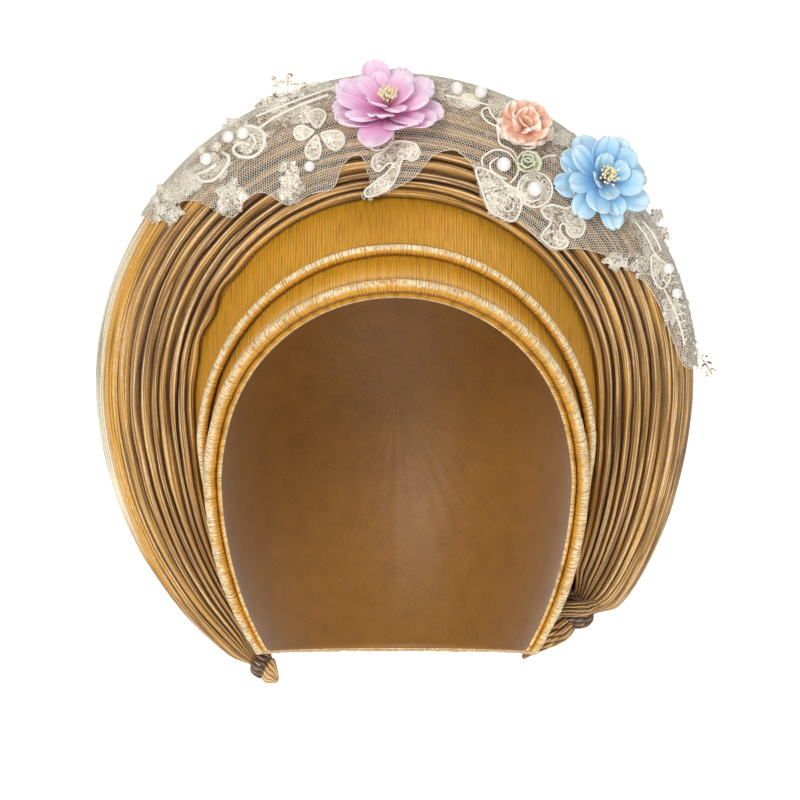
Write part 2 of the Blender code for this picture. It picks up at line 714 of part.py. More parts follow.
def build_all():
    """Build every piece."""
    gold = make_material("gold_satin", (0.62, 0.36, 0.07), 0.42)
    bronze = make_material("bronze_lurex", (0.42, 0.25, 0.09), 0.4, 0.2)
    dark = make_material("dark_lurex", (0.1, 0.06, 0.06), 0.35, 0.4)
    lace = make_material("champagne_lace", (0.55, 0.5, 0.4), 0.7)
    pearl = make_material("pearl", (0.86, 0.83, 0.78), 0.25)
    make_material("pink_petal", (0.85, 0.45, 0.7), 0.7)
    make_material("blue_petal", (0.3, 0.58, 0.85), 0.7)
    make_material("peach_petal", (0.9, 0.55, 0.42), 0.7)
    make_material("green_petal", (0.55, 0.56, 0.38), 0.7)
    make_material("stamen_yellow", (0.85, 0.7, 0.4), 0.6)
    build_crown_cap(gold)
    build_rim_roll(gold)
    build_inner_band(gold)
    build_outer_band(gold)
    build_pleat_fan(bronze)
    build_outer_drape(bronze)
    polar_loft("left_tie", LEFT_TIE, dark)
    polar_loft("left_tail", LEFT_TAIL, bronze)
    polar_loft("right_tie", RIGHT_TIE, dark)
    polar_loft("right_strap", RIGHT_STRAP, bronze)
    polar_loft("right_tail", RIGHT_TAIL, bronze)
    build_lace(lace)
    build_sprigs(lace)
    build_flowers()
    build_pearls(pearl)


clear_scene()
build_all()
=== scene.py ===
"""Looks for a pre-tied pleated turban hat with lace, cloth flowers and pearls.

Lengths are in millimetres until a mesh is made. X runs to the right as seen from the front, Y runs
back and Z up. Cloth is laid out in polar form round a hub behind the face: an angle seen from the
front, and for each angle a profile in radius and depth.
"""

import logging
import math
from dataclasses import astuple, dataclass
from enum import Enum
from typing import Sequence

import bpy
import numpy as np
from mathutils import Matrix, Vector
from mathutils.geometry import delaunay_2d_cdt


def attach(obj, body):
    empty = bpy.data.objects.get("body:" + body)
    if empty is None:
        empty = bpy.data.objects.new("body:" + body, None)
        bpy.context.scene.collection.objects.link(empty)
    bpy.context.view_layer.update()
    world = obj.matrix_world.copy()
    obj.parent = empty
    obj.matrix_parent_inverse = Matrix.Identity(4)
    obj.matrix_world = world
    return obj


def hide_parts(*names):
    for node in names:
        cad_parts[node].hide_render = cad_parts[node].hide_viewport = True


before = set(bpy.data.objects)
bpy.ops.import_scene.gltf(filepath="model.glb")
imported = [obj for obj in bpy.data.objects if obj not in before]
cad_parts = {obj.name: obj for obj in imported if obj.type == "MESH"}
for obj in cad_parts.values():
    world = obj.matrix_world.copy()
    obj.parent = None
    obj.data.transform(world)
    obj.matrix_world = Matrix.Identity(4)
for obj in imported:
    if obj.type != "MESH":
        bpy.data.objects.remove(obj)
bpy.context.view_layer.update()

LOG = logging.getLogger("turban")
MM = 0.001
ROOT = "root"
Array = np.ndarray
Values = np.ndarray | float
Material = bpy.types.Material
Mesh = bpy.types.Mesh
Socket = bpy.types.NodeSocket
Feed = bpy.types.NodeSocket | float | tuple


# Small numeric tools


@dataclass(frozen=True)
class Curve:
    """Smooth curve through rows of position and value."""

    rows: tuple

    def at(self, where: Values) -> Array:
        """Read the curve.

        Args:
            where: Positions, any shape.

        Returns:
            Values, level outside the first and last rows.
        """
        xs, ys = np.array(self.rows, float).T
        order = np.arange(len(xs))
        before, after = np.maximum(order - 1, 0), np.minimum(order + 1, len(xs) - 1)
        slopes = (ys[after] - ys[before]) / (xs[after] - xs[before])
        x = np.clip(np.asarray(where, float), xs[0], xs[-1])
        i = np.clip(np.searchsorted(xs, x, side="left") - 1, 0, len(xs) - 2)
        width = xs[i + 1] - xs[i]
        t = (x - xs[i]) / width
        t2, t3 = t * t, t ** 3
        return ((2 * t3 - 3 * t2 + 1) * ys[i] + (t3 - 2 * t2 + t) * width * slopes[i]
                + (3 * t2 - 2 * t3) * ys[i + 1] + (t3 - t2) * width * slopes[i + 1])


@dataclass(frozen=True)
class Ripple:
    """Smooth seeded wander made of a few sine waves."""

    seed: int
    waves: int = 5
    ratio: float = 1.7
    fade: float = 1.45
    scale: float = 2.2

    def at(self, where: Values, pitch: float) -> Array:
        """Read the wander.

        Args:
            where: Positions, any shape.
            pitch: Length of the longest wave.

        Returns:
            Values between about -1 and 1.
        """
        rng = np.random.default_rng(self.seed)
        total = np.zeros(np.shape(where))
        for k in range(self.waves):
            phase, stretch = rng.uniform(0.0, math.tau), rng.uniform(0.8, 1.25)
            turns = np.asarray(where) * stretch * self.ratio ** k / pitch
            total = total + np.sin(math.tau * turns + phase) / self.fade ** k
        return total / self.scale


def smooth_step(low: float, high: float, value: Values) -> Array:
    """Rise from 0 at low to 1 at high with level ends."""
    share = np.clip((np.asarray(value, float) - low) / (high - low), 0.0, 1.0)
    return share * share * (3.0 - 2.0 * share)


def unit(vectors: Array) -> Array:
    """Vectors scaled to length one."""
    return vectors / np.maximum(np.linalg.norm(vectors, axis=-1, keepdims=True), 1e-9)


def run_length(points: Array) -> Array:
    """Distance along the first axis of a grid of points, starting at 0."""
    steps = np.linalg.norm(np.diff(points, axis=0), axis=-1)
    return np.concatenate([np.zeros((1,) + steps.shape[1:]), np.cumsum(steps, axis=0)])


def square_to(flat: Array) -> Array:
    """Radius and depth pairs turned by a quarter towards the front."""
    return np.stack([flat[..., 1], -flat[..., 0]], -1)


def cloth_lengths(along: Values, across: Values) -> Array:
    """Cloth coordinates in metres from lengths along and across."""
    return np.stack(np.broadcast_arrays(along, across), -1) * MM


def round_line(centre: Array, reach: Array, side: Array, up: Array, turns: Array) -> Array:
    """Points round each place of a line."""
    return centre[:, None] + reach[..., None] * (np.cos(turns)[..., None] * side[:, None]
                                                 + np.sin(turns)[..., None] * up[:, None])


# Form of the hat, shared by every piece


@dataclass(frozen=True)
class HeadForm:
    """Head space: an ellipsoid with a longer lower half."""

    half_x: float = 80.0
    half_y: float = 94.0
    upper: float = 100.0
    lower: float = 150.0
    hub_z: float = -85.0

    def point(self, angle: Values, tilt: Values, lift: Values = 0.0) -> Array:
        """Place on the head's surface, or lifted off it.

        Args:
            angle: Degrees round the hub as seen from the front.
            tilt: Degrees away from the forward direction.
            lift: Height above the surface.

        Returns:
            Points with a last axis of three.
        """
        angle, tilt, lift = np.broadcast_arrays(np.asarray(angle, float), tilt, lift)
        turn, lean = np.radians(angle), np.radians(tilt)
        ray = np.stack([np.sin(lean) * np.cos(turn), -np.cos(lean),
                        np.sin(lean) * np.sin(turn)], -1)
        rise = self.hub_z + self.upper
        found = []
        for half in (self.upper, self.lower):
            a = np.sum((ray / np.array((self.half_x, self.half_y, half))) ** 2, -1)
            b = rise * ray[..., 2] / half ** 2
            c = (rise / half) ** 2 - 1.0
            found.append((-b + np.sqrt(b * b - a * c)) / a)
        high = (rise + found[0] * ray[..., 2]) >= 0.0
        spot = np.where(high, *found)[..., None] * ray
        half = np.where(high, self.upper, self.lower)
        scale = np.stack(np.broadcast_arrays(self.half_x, self.half_y, half), -1)
        normal = unit((spot + (0.0, 0.0, rise)) / scale ** 2)
        return spot + (0.0, 0.0, self.hub_z) + lift[..., None] * normal


@dataclass(frozen=True)
class EdgeLine:
    """Edge on the head's surface that falls back with height below its top point."""

    head: HeadForm
    top_z: float
    top_y: float
    slope: float
    knee_z: float
    low_slope: float
    hem_z: float = -203.0
    halvings: int = 20

    def depth(self, z: Array) -> Array:
        """Depth of the edge's plane at a height."""
        upper = self.top_z - np.maximum(z, self.knee_z)
        lower = self.knee_z - np.minimum(z, self.knee_z)
        return self.top_y + upper * self.slope + lower * self.low_slope

    def tilt(self, angle: Array) -> Array:
        """Tilt at which the edge lies.

        Args:
            angle: Degrees round the hub.

        Returns:
            Tilt for each angle.
        """
        angle = np.asarray(angle, float)

        def inside(tilt: Array, at: Array) -> Array:
            """Which points of the head lie on the cloth's side of the edge."""
            point = self.head.point(at, tilt)
            return (point[..., 1] >= self.depth(point[..., 2])) & (point[..., 2] >= self.hem_z)

        scan = np.arange(179.0, 4.0, -1.0)
        kept = inside(scan[None, :], angle.reshape(-1, 1))
        first = np.argmax(~kept, axis=1)
        low = scan[first].reshape(angle.shape)
        high = low + 1.0
        for _ in range(self.halvings):
            middle = 0.5 * (low + high)
            held = inside(middle, angle)
            high, low = np.where(held, middle, high), np.where(held, low, middle)
        return high

    def frame(self, angle: Array) -> tuple:
        """Frame of the edge.

        Args:
            angle: Degrees round the hub.

        Returns:
            Point of the edge, direction away from the opening, and outward normal.
        """
        tilt = self.tilt(angle)
        here = self.head.point(angle, tilt)
        ahead = self.head.point(angle + 1.0, self.tilt(angle + 1.0))
        behind = self.head.point(angle - 1.0, self.tilt(angle - 1.0))
        normal = self.head.point(angle, tilt, 1.0) - here
        inward = unit(np.cross(normal, ahead - behind))
        back = self.head.point(angle, tilt + 1.0) - here
        return here, inward * np.sign(np.sum(inward * back, -1))[..., None], normal

    def clear_tilt(self, angle: Array, distance: Values) -> Array:
        """Tilt that lies clear of the edge.

        Args:
            angle: Degrees round the hub.
            distance: How far from the edge, measured square to it.

        Returns:
            Tilt for each angle.
        """
        tilt = self.tilt(angle)
        here, inward, _ = self.frame(angle)
        back = self.head.point(angle, tilt + 1.0) - here
        return tilt + distance / np.sum(inward * back, -1)


@dataclass(frozen=True)
class Halo:
    """Middle surface of the pleated fan and the line of the layer folded round it."""

    head: HeadForm
    rows: tuple
    full_width: float = 42.0
    bulge: float = 6.0
    pleat_depth: float = 3.0
    wall: float = 1.5
    share: float = 0.79
    start: float = 0.803
    shoulder: float = 0.88
    fold: float = 6.0
    swell: float = 2.4
    back_return: float = 21.0
    sag: float = 2.5
    seat: float = 3.0
    tuck: float = 12.0
    ties: tuple = ((127.5, 37.0), (137.8, 39.5))
    pull: float = 0.42
    pull_span: float = 5.0

    def stations(self, count: int) -> Array:
        """Even angles from one end of the table to the other."""
        return np.linspace(self.rows[0][0], self.rows[-1][0], count)

    def column(self, angle: Values, index: int) -> Array:
        """Read one column of the fan's table."""
        return Curve(tuple((row[0], row[index]) for row in self.rows)).at(angle)

    def width(self, angle: Values) -> Array:
        """Radial width of the fan."""
        return self.column(angle, 2) - self.column(angle, 1)

    def place(self, angle: Values, share: Values) -> Array:
        """Middle surface of the fan.

        Args:
            angle: Degrees round the hub.
            share: Share of the way from the inner edge to the outer one.

        Returns:
            Radius and depth.
        """
        near, width = self.column(angle, 3), self.width(angle)
        full = np.minimum(1.0, width / self.full_width) ** 1.5
        return np.stack([self.column(angle, 1) + width * share,
                         near + (self.column(angle, 4) - near) * share
                         - self.bulge * full * np.sin(math.pi * share)], -1)

    def offset(self, angle: Values, share: Values, lift: Values) -> Array:
        """Surface in front of the middle one.

        Args:
            angle: Degrees round the hub.
            share: Share of the way from the inner edge to the outer one.
            lift: Height in front of the middle surface.

        Returns:
            Radius and depth.
        """
        angle, share, lift = np.broadcast_arrays(np.asarray(angle, float), share, lift)
        along = unit(self.place(angle, share + 0.01) - self.place(angle, share - 0.01))
        return self.place(angle, share) + square_to(along) * lift[..., None]

    def height(self, angle: Values) -> Array:
        """Ridge height, lower where the fan is gathered."""
        full = (self.width(angle) / self.full_width) ** 1.5
        return self.pleat_depth * np.minimum(1.0, 0.25 + 0.75 * full)

    def gather(self, angle: Values) -> Array:
        """Share of the outer layer's full size."""
        return np.minimum(1.0, 0.2 + 0.8 * self.width(angle) / self.full_width)

    def tuck_tilt(self, angle: Values) -> Array:
        """Tilt of a line a little behind the fan's inner edge."""
        return np.degrees(np.arctan2(self.column(angle, 1), -(self.column(angle, 3) + self.tuck)))

    def drape(self, angle: Array, lift: Values, turns: Sequence, returns: Sequence) -> Array:
        """Line of the outer layer from its front lip round the fold and back to the cap.

        Args:
            angle: Degrees round the hub, one axis.
            lift: Height above the layer's inner face, one for each angle or a number.
            turns: Degrees round the fold, where points are put.
            returns: Shares of the way from the fold back to the cap.

        Returns:
            Radius and depth for each angle and point.
        """
        gather = self.gather(angle)
        lift = np.broadcast_to(np.asarray(lift, float), np.shape(angle))
        zero = np.zeros_like(gather)
        outer, far = self.column(angle, 2), self.column(angle, 4)
        fold = self.fold * gather
        spots = [self.place(angle, self.start) + np.stack([-lift * 0.15, -0.2 - lift], -1),
                 self.place(angle, self.shoulder)
                 + np.stack([zero, -self.swell * gather - lift], -1)]
        for w in np.radians(turns):
            spots.append(np.stack([outer - fold + (fold + lift) * math.cos(w),
                                   far + (fold + lift) * math.sin(w)], -1))
        near = self.column(angle, 3) + self.wall + self.back_return * gather
        tilt = np.degrees(np.arctan2(self.column(angle, 1), -near))
        seat = self.head.point(angle, tilt, self.seat)
        tuck = np.stack([np.hypot(seat[..., 0], seat[..., 2] - self.head.hub_z), seat[..., 1]], -1)
        top = np.stack([outer - fold, far + fold], -1)
        for share in returns:
            sag = self.sag * gather * math.sin(math.pi * share)
            spots.append(top + (tuck - top) * share + np.stack([zero, sag + lift], -1))
        return np.stack(spots, 1)

    def drawn_in(self, angle: Array, spot: Array) -> Array:
        """Draw a layer towards the tie at either end.

        Args:
            angle: Degrees round the hub, one for each row.
            spot: Radius and depth, a row of points for each angle.

        Returns:
            Radius and depth.
        """
        for row, centre in zip((self.rows[0], self.rows[-1]), self.ties):
            near = 1.0 - smooth_step(0.0, self.pull_span, np.abs(angle - row[0]))
            spot = spot + (np.array(centre) - spot) * (self.pull * near)[:, None, None]
        return spot

    def to_space(self, angle: Values, spot: Array) -> Array:
        """Turn polar places into points.

        Args:
            angle: Degrees round the hub, one for each row or for each point.
            spot: Radius and depth.

        Returns:
            Points with a last axis of three.
        """
        turn = np.radians(np.asarray(angle, float))
        turn = turn.reshape(turn.shape + (1,) * (spot.ndim - 1 - turn.ndim))
        turn = np.broadcast_to(turn, spot.shape[:-1])
        return np.stack([spot[..., 0] * np.cos(turn), spot[..., 1],
                         self.head.hub_z + spot[..., 0] * np.sin(turn)], -1)


HEAD = HeadForm()
RIM = EdgeLine(HEAD, -45.0, -82.5, 0.76, -128.0, 0.45)
LIP = EdgeLine(HEAD, -29.0, -74.0, 0.686, -37.0, 0.628)
HALO = Halo(HEAD, (
    (-50.0, 117.5, 139.0, 29.0, 38.0),
    (-43.0, 110.5, 138.5, 26.0, 37.0),
    (-37.0, 105.0, 136.5, 22.5, 35.0),
    (-27.0, 97.6, 133.0, 15.0, 30.0),
    (-17.0, 92.4, 130.5, 7.0, 24.0),
    (-8.0, 89.2, 129.5, 0.0, 18.5),
    (13.0, 86.6, 129.5, -16.0, 8.0),
    (43.0, 83.0, 130.0, -37.0, -10.0),
    (68.0, 81.0, 131.0, -47.0, -21.0),
    (92.0, 80.8, 132.0, -49.5, -25.0),
    (120.0, 82.6, 131.5, -45.0, -19.0),
    (146.0, 84.5, 131.0, -35.0, -7.0),
    (160.0, 86.0, 131.0, -25.0, 1.0),
    (180.0, 88.5, 131.0, -10.0, 12.0),
    (195.0, 91.6, 131.5, 4.0, 20.0),
    (205.0, 96.0, 133.0, 13.0, 27.0),
    (218.0, 104.5, 135.5, 23.0, 34.0),
    (229.0, 114.0, 138.5, 28.5, 37.0),
    (236.0, 121.0, 140.5, 31.0, 39.0),
    (243.0, 131.0, 142.5, 33.0, 40.5),
))
BAND_SPAN = (-34.0, 214.0)


# Meshes and how they join the object


class Slot(Enum):
    """Material slots of the record."""

    GOLD = "gold_satin"
    BRONZE = "bronze_lurex"
    DARK = "dark_lurex"
    LACE = "champagne_lace"
    PINK = "pink_petal"
    BLUE = "blue_petal"
    PEACH = "peach_petal"
    GREEN = "green_petal"
    STAMEN = "stamen_yellow"
    PEARL = "pearl"


@dataclass
class Skin:
    """Points, faces and values of a mesh while it is put together."""

    points: Array
    faces: list
    uv: Array
    crest: Array
    # Slow pale variation of each point, also painted highlight on the lit parts of rolls, bands and
    # the outer drape
    tone: Array

    @staticmethod
    def join(parts: Sequence["Skin"]) -> "Skin":
        """Put several skins into one.

        Args:
            parts: The skins.

        Returns:
            One skin.
        """
        faces, start = [], 0
        for part in parts:
            faces.extend(tuple(i + start for i in face) for face in part.faces)
            start += len(part.points)
        points, uv, crest, tone = (np.concatenate([getattr(part, key) for part in parts])
                                   for key in ("points", "uv", "crest", "tone"))
        return Skin(points, faces, uv, crest, tone)


def grid_faces(rows: int, count: int, ring: bool, closed: bool = True) -> list:
    """Quads between neighbouring loops of points.

    Args:
        rows: Number of loops.
        count: Points in each loop.
        ring: True if the last loop joins the first.
        closed: True if each loop is closed.

    Returns:
        Faces as index tuples.
    """
    faces = []
    for i in range(rows if ring else rows - 1):
        a, b = i * count, ((i + 1) % rows) * count
        for j in range(count if closed else count - 1):
            k = (j + 1) % count
            faces.append((a + j, a + k, b + k, b + j))
    return faces


def tube_skin(loops: Array, uv: Values, crest: Values, tone: Values = 0.0, ring: bool = False,
              poles: tuple | None = None) -> Skin:
    """Closed skin through loops of points.

    Args:
        loops: Points, shaped (loops, points, 3).
        uv: Lengths along and across in metres, shaped (loops, points, 2), or 0.
        crest: Height share of each point, 0 in a valley and 1 on a crest, lowered further where
            painted shade falls.
        tone: Slow pale variation of each point, also painted highlight on the lit parts of rolls,
            bands and the outer drape.
        ring: True if the last loop joins the first.
        poles: Two end points that close the skin, or none for flat ends.

    Returns:
        The skin.
    """
    rows, count = loops.shape[:2]
    faces = grid_faces(rows, count, ring)
    last = (rows - 1) * count
    points = loops.reshape(-1, 3)
    uvs = np.broadcast_to(uv, (rows, count, 2)).reshape(-1, 2)
    crests, tones = (np.broadcast_to(value, (rows, count)).ravel() for value in (crest, tone))
    if poles is not None:
        first = len(points)
        points = np.concatenate([points, np.array(poles, float)])
        uvs, crests, tones = (np.concatenate([v, v[:1], v[-1:]]) for v in (uvs, crests, tones))
        for j in range(count):
            k = (j + 1) % count
            faces.append((k, j, first))
            faces.append((last + j, last + k, first + 1))
    elif not ring:
        faces.append(tuple(reversed(range(count))))
        faces.append(tuple(range(last, last + count)))
    return Skin(points, faces, uvs, crests, tones)


def signed_volume(points: Array, faces: list) -> float:
    """Volume inside a skin, negative if it is inside out."""
    fan = np.array([(f[0], f[i], f[i + 1]) for f in faces for i in range(1, len(f) - 1)])
    a, b, c = points[fan[:, 0]], points[fan[:, 1]], points[fan[:, 2]]
    return float(np.sum(a * np.cross(b, c)) / 6.0)


def outward(skin: Skin) -> Skin:
    """The skin with its faces turned outwards."""
    if signed_volume(skin.points, skin.faces) < 0.0:
        skin.faces = [tuple(reversed(face)) for face in skin.faces]
    return skin


def shown(name: str, data: bpy.types.ID) -> bpy.types.Object:
    """New object in the scene."""
    item = bpy.data.objects.new(name, data)
    bpy.context.scene.collection.objects.link(item)
    return item


class Piece:
    """One shown object that rides on the hat."""

    def __init__(self, name: str, slot: Slot, replaces: Sequence[str]) -> None:
        """Remember what the piece is called and stands for.

        Args:
            name: Object name.
            slot: Material slot of the record.
            replaces: CAD nodes that it stands for.
        """
        self.name = name
        self.slot = slot
        self.stands_for = tuple(replaces)
        self.item = None

    def from_skin(self, skin: Skin, material: Material) -> "Piece":
        """Make the object's mesh from a skin.

        Args:
            skin: What to build, in millimetres.
            material: Finish.

        Returns:
            This piece.
        """
        mesh = bpy.data.meshes.new(self.name)
        mesh.from_pydata((skin.points * MM).tolist(), [], outward(skin).faces)
        mesh.update()
        corner = np.zeros(len(mesh.loops), np.int32)
        mesh.loops.foreach_get("vertex_index", corner)
        layer = mesh.uv_layers.new(name="cloth")
        layer.data.foreach_set("uv", skin.uv[corner].astype(np.float32).ravel())
        for key in ("crest", "tone"):
            values = mesh.attributes.new(key, "FLOAT", "POINT")
            values.data.foreach_set("value", getattr(skin, key).astype(np.float32))
        mesh.shade_smooth()
        return self.from_mesh(mesh, material)

    def from_mesh(self, mesh: Mesh, material: Material) -> "Piece":
        """Make the object from a finished mesh and place it on the hat.

        Args:
            mesh: Mesh in metres.
            material: Finish.

        Returns:
            This piece.
        """
        mesh.materials.clear()
        mesh.materials.append(material)
        self.item = shown(self.name, mesh)
        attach(self.item, ROOT)
        if self.stands_for:
            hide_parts(*self.stands_for)
        LOG.info("%s: %d faces", self.name, len(mesh.polygons))
        return self

    def sheet(self, width: float, held: str, rests_on: Sequence[str] = (),
              with_pieces: Sequence = ()) -> "Piece":
        """Args:
            width: Width of the cut in metres; its length follows from the area of the cloth.
            held: How the cloth is held; not used.
            rests_on: Pieces under it; not used.
            with_pieces: Separate pieces on it; not used.

        Returns:
            This piece.
        """
        length = max(half_area(self.item.data) / width, 0.0101)
        return self


def half_area(mesh: Mesh) -> float:
    """Half of a closed mesh's surface in square metres."""
    areas = np.zeros(len(mesh.polygons), np.float32)
    mesh.polygons.foreach_get("area", areas)
    return 0.5 * float(areas.sum())


# Finishes


class Graph:
    """Short hand for building a material's nodes."""

    def __init__(self, name: str) -> None:
        """Start a material with its Principled shader."""
        self.material = bpy.data.materials.new(name)
        self.material.use_nodes = True
        self.tree = self.material.node_tree
        self.shader = self.tree.nodes["Principled BSDF"]

    def feed(self, socket: Socket, value: Feed) -> None:
        """Link a socket or set its value.

        Args:
            socket: Input to fill.
            value: Another node's output, a number, or a colour of three.
        """
        if isinstance(value, bpy.types.NodeSocket):
            self.tree.links.new(value, socket)
        elif isinstance(value, tuple) and len(value) == 3 and socket.type == "RGBA":
            socket.default_value = (*value, 1.0)
        else:
            socket.default_value = value

    def step(self, kind: str, feeds: dict, out: int | str, **options: str) -> Socket:
        """Add one node.

        Args:
            kind: Blender's name of the node.
            feeds: What each of its inputs is given.
            out: The output that is read.
            options: Its own settings.

        Returns:
            That output.
        """
        node = self.tree.nodes.new("ShaderNode" + kind)
        for key, value in options.items():
            setattr(node, key, value)
        for key, value in feeds.items():
            self.feed(node.inputs[key], value)
        return node.outputs[out]

    def read(self, name: str) -> Socket:
        """Value of a point attribute."""
        return self.step("Attribute", {}, "Fac", attribute_name=name)

    def cloth(self, along: float, across: float) -> Socket:
        """Cloth coordinates in metres, scaled along and across."""
        flat = self.step("UVMap", {}, "UV", uv_map="cloth")
        return self.stretch(flat, (along, across, 1.0))

    def place(self, scale: tuple) -> Socket:
        """Object coordinates, scaled."""
        return self.stretch(self.step("TexCoord", {}, "Object"), scale)

    def stretch(self, vector: Socket, scale: tuple) -> Socket:
        """Coordinates times a factor for each axis."""
        return self.step("Mapping", {"Vector": vector, "Scale": scale}, "Vector")

    def noise(self, vector: Socket, detail: float = 2.0) -> Socket:
        """Noise pattern from 0 to 1."""
        return self.step("TexNoise", {"Vector": vector, "Scale": 1.0, "Detail": detail}, "Fac")

    def lines(self, pitch: float, waver: float) -> Socket:
        """Fine lines across the cloth's length, so many metres apart, that sway a little."""
        flat = self.cloth(math.pi / (10.0 * pitch), 12.0)
        return self.step("TexWave", {"Vector": flat, "Scale": 1.0, "Distortion": waver,
                                     "Detail": 2.0, "Detail Scale": 1.6}, "Fac")

    def ramp(self, value: Feed, low: float, high: float, to_low: float = 0.0,
             to_high: float = 1.0) -> Socket:
        """Map a value between two bounds to a result between two others, clamped."""
        return self.step("MapRange", {"Value": value, "From Min": low, "From Max": high,
                                      "To Min": to_low, "To Max": to_high}, "Result")

    def math(self, kind: str, a: Feed, b: Feed) -> Socket:
        """One arithmetic step on two values."""
        return self.step("Math", {0: a, 1: b}, 0, operation=kind)

    def times(self, a: Feed, b: Feed) -> Socket:
        """Product of two values."""
        return self.math("MULTIPLY", a, b)

    def mix(self, share: Feed, a: Feed, b: Feed, kind: str = "MIX") -> Socket:
        """Mix two colours, by the share of the second."""
        return self.step("Mix", {0: share, 6: a, 7: b}, 2, data_type="RGBA", blend_type=kind)

    def tint(self, colour: Feed, shade: Feed) -> Socket:
        """Colour darkened by a shade from 0 to 1."""
        grey = self.mix(shade, (0.0, 0.0, 0.0), (1.0, 1.0, 1.0))
        return self.mix(1.0, colour, grey, "MULTIPLY")

    def bump(self, height: Socket, depth: float, strength: float) -> None:
        """Raise the surface by a height pattern.

        Args:
            height: Pattern.
            depth: Height in metres where the pattern is 1.
            strength: Share of it that shows.
        """
        feeds = {"Strength": strength, "Distance": depth, "Height": height}
        self.feed(self.shader.inputs["Normal"], self.step("Bump", feeds, "Normal"))

    def finish(self, **values: Feed) -> Material:
        """Set the shader's inputs.

        Args:
            values: Inputs, named with underscores for spaces.

        Returns:
            The material.
        """
        for key, value in values.items():
            name = key.replace("_", " ").title().replace("Ior", "IOR")
            self.feed(self.shader.inputs[name], value)
        return self.material


@dataclass(frozen=True)
class SatinFinish:
    """Ribbed satin: painted shade between the ribs and in creases, painted highlight on the crests
    and on the lit half of rolls.
    """

    name: str
    # Colour of painted shade between the ribs and in creases
    valley: tuple
    body: tuple
    # Colour of painted highlight on the crests of lit rolls
    crest: tuple
    roughness: float = 0.48
    sheen: float = 0.06

    def build(self) -> Material:
        """Make the material."""
        g = Graph(self.name)
        crest, tone = g.read("crest"), g.read("tone")
        streak = g.noise(g.cloth(1500.0, 60.0))
        ribs = g.lines(0.00125, 3.0)
        fleck = g.noise(g.cloth(1500.0, 380.0), 1.0)
        cloud = g.noise(g.cloth(40.0, 60.0))
        # Painted shade where the crest share is low; pale strokes of painted highlight on the lit
        # half of rolls
        colour = g.mix(g.ramp(crest, 0.0, 0.5), self.valley, self.body)
        pale = g.times(g.ramp(fleck, 0.32, 0.54), g.ramp(tone, 0.05, 0.9))
        colour = g.mix(g.times(pale, g.ramp(crest, 0.15, 0.6)), colour, self.crest)
        shade = g.times(g.ramp(streak, 0.32, 0.66, 0.74, 1.18), g.ramp(cloud, 0.3, 0.7, 0.92, 1.06))
        shade = g.times(shade, g.ramp(ribs, 0.0, 1.0, 0.84, 1.1))
        bright = g.tint(colour, shade)
        g.bump(g.math("ADD", streak, ribs), 0.0003, 0.7)
        return g.finish(base_color=bright, roughness=self.roughness, sheen_weight=self.sheen,
                        sheen_roughness=0.4, specular_ior_level=0.35)


@dataclass(frozen=True)
class LurexFinish:
    """Pleated cloth with fine metallic threads that run lengthwise, with painted shade in the
    valleys and painted highlight and glints on the ridges.
    """

    name: str
    # Colour of painted shade in the pleat valleys
    valley: tuple
    body: tuple
    # Colour of painted highlight on the ridge tops, along the lengthwise lines
    crest: tuple
    warm: tuple
    # Gold and pale serve both the cloth's paler pleats and ends and painted highlight on the outer
    # drape's lit left side and fold
    gold: tuple
    pale: tuple
    # Pale colour of the metallic threads, shown only on the ridge crests as painted glints
    thread: tuple
    glint: float = 0.75
    roughness: float = 0.45

    def build(self) -> Material:
        """Make the material."""
        g = Graph(self.name)
        crest, tone = g.read("crest"), g.read("tone")
        line = g.noise(g.cloth(16.0, 1450.0))
        fleck = g.noise(g.cloth(420.0, 1500.0))
        fine = g.noise(g.cloth(1300.0, 2400.0), 1.0)
        belt = g.noise(g.cloth(9.0, 150.0), 1.0)
        body = g.mix(g.ramp(belt, 0.48, 0.7), self.body, self.warm)
        # Painted shade in the valleys and painted highlight on the ridge tops
        colour = g.mix(g.ramp(crest, 0.4, 0.86), self.valley, body)
        share = g.times(g.ramp(crest, 0.45, 0.9), g.ramp(line, 0.47, 0.6))
        colour = g.mix(share, colour, self.crest)
        # Paler cloth, and painted highlight where the outer drape faces the light
        colour = g.mix(g.ramp(tone, 0.0, 0.5), colour, self.gold)
        colour = g.mix(g.ramp(tone, 0.5, 1.0), colour, self.pale)
        shade = g.times(g.ramp(line, 0.36, 0.64, 0.4, 1.46), g.ramp(fine, 0.34, 0.66, 0.74, 1.22))
        # Deeper painted shade in the valleys
        shade = g.times(shade, g.ramp(crest, 0.3, 0.8, 0.6, 1.06))
        colour = g.tint(colour, shade)
        # Glints of the metallic threads, kept to the ridge crests as painted glints
        spark = g.times(g.ramp(line, 0.52, 0.62), g.ramp(fleck, 0.5, 0.66))
        spark = g.times(spark, g.times(g.ramp(crest, 0.4, 0.8), self.glint))
        colour = g.mix(spark, colour, self.thread)
        g.bump(g.math("ADD", line, g.times(fleck, 0.4)), 0.0006, 0.8)
        return g.finish(base_color=colour, metallic=g.times(spark, 0.3),
                        roughness=g.ramp(spark, 0.0, 0.6, self.roughness, 0.26), sheen_weight=0.06,
                        sheen_roughness=0.5, specular_ior_level=0.4)


@dataclass(frozen=True)
class ThreadFinish:
    """Matte thread of lace, cord or stamens."""

    name: str
    dark: tuple
    light: tuple
    grain: float = 900.0
    roughness: float = 0.62
    metallic: float = 0.0
    span: tuple = (0.34, 0.66)

    def build(self) -> Material:
        """Make the material."""
        g = Graph(self.name)
        grain = g.noise(g.place((self.grain,) * 3))
        cloud = g.noise(g.place((110.0,) * 3))
        mixed = g.math("ADD", g.times(grain, 0.6), g.times(cloud, 0.4))
        colour = g.mix(g.ramp(mixed, *self.span), self.dark, self.light)
        g.bump(grain, 0.0001, 0.4)
        return g.finish(base_color=colour, roughness=self.roughness, metallic=self.metallic,
                        sheen_weight=0.3, sheen_roughness=0.5)


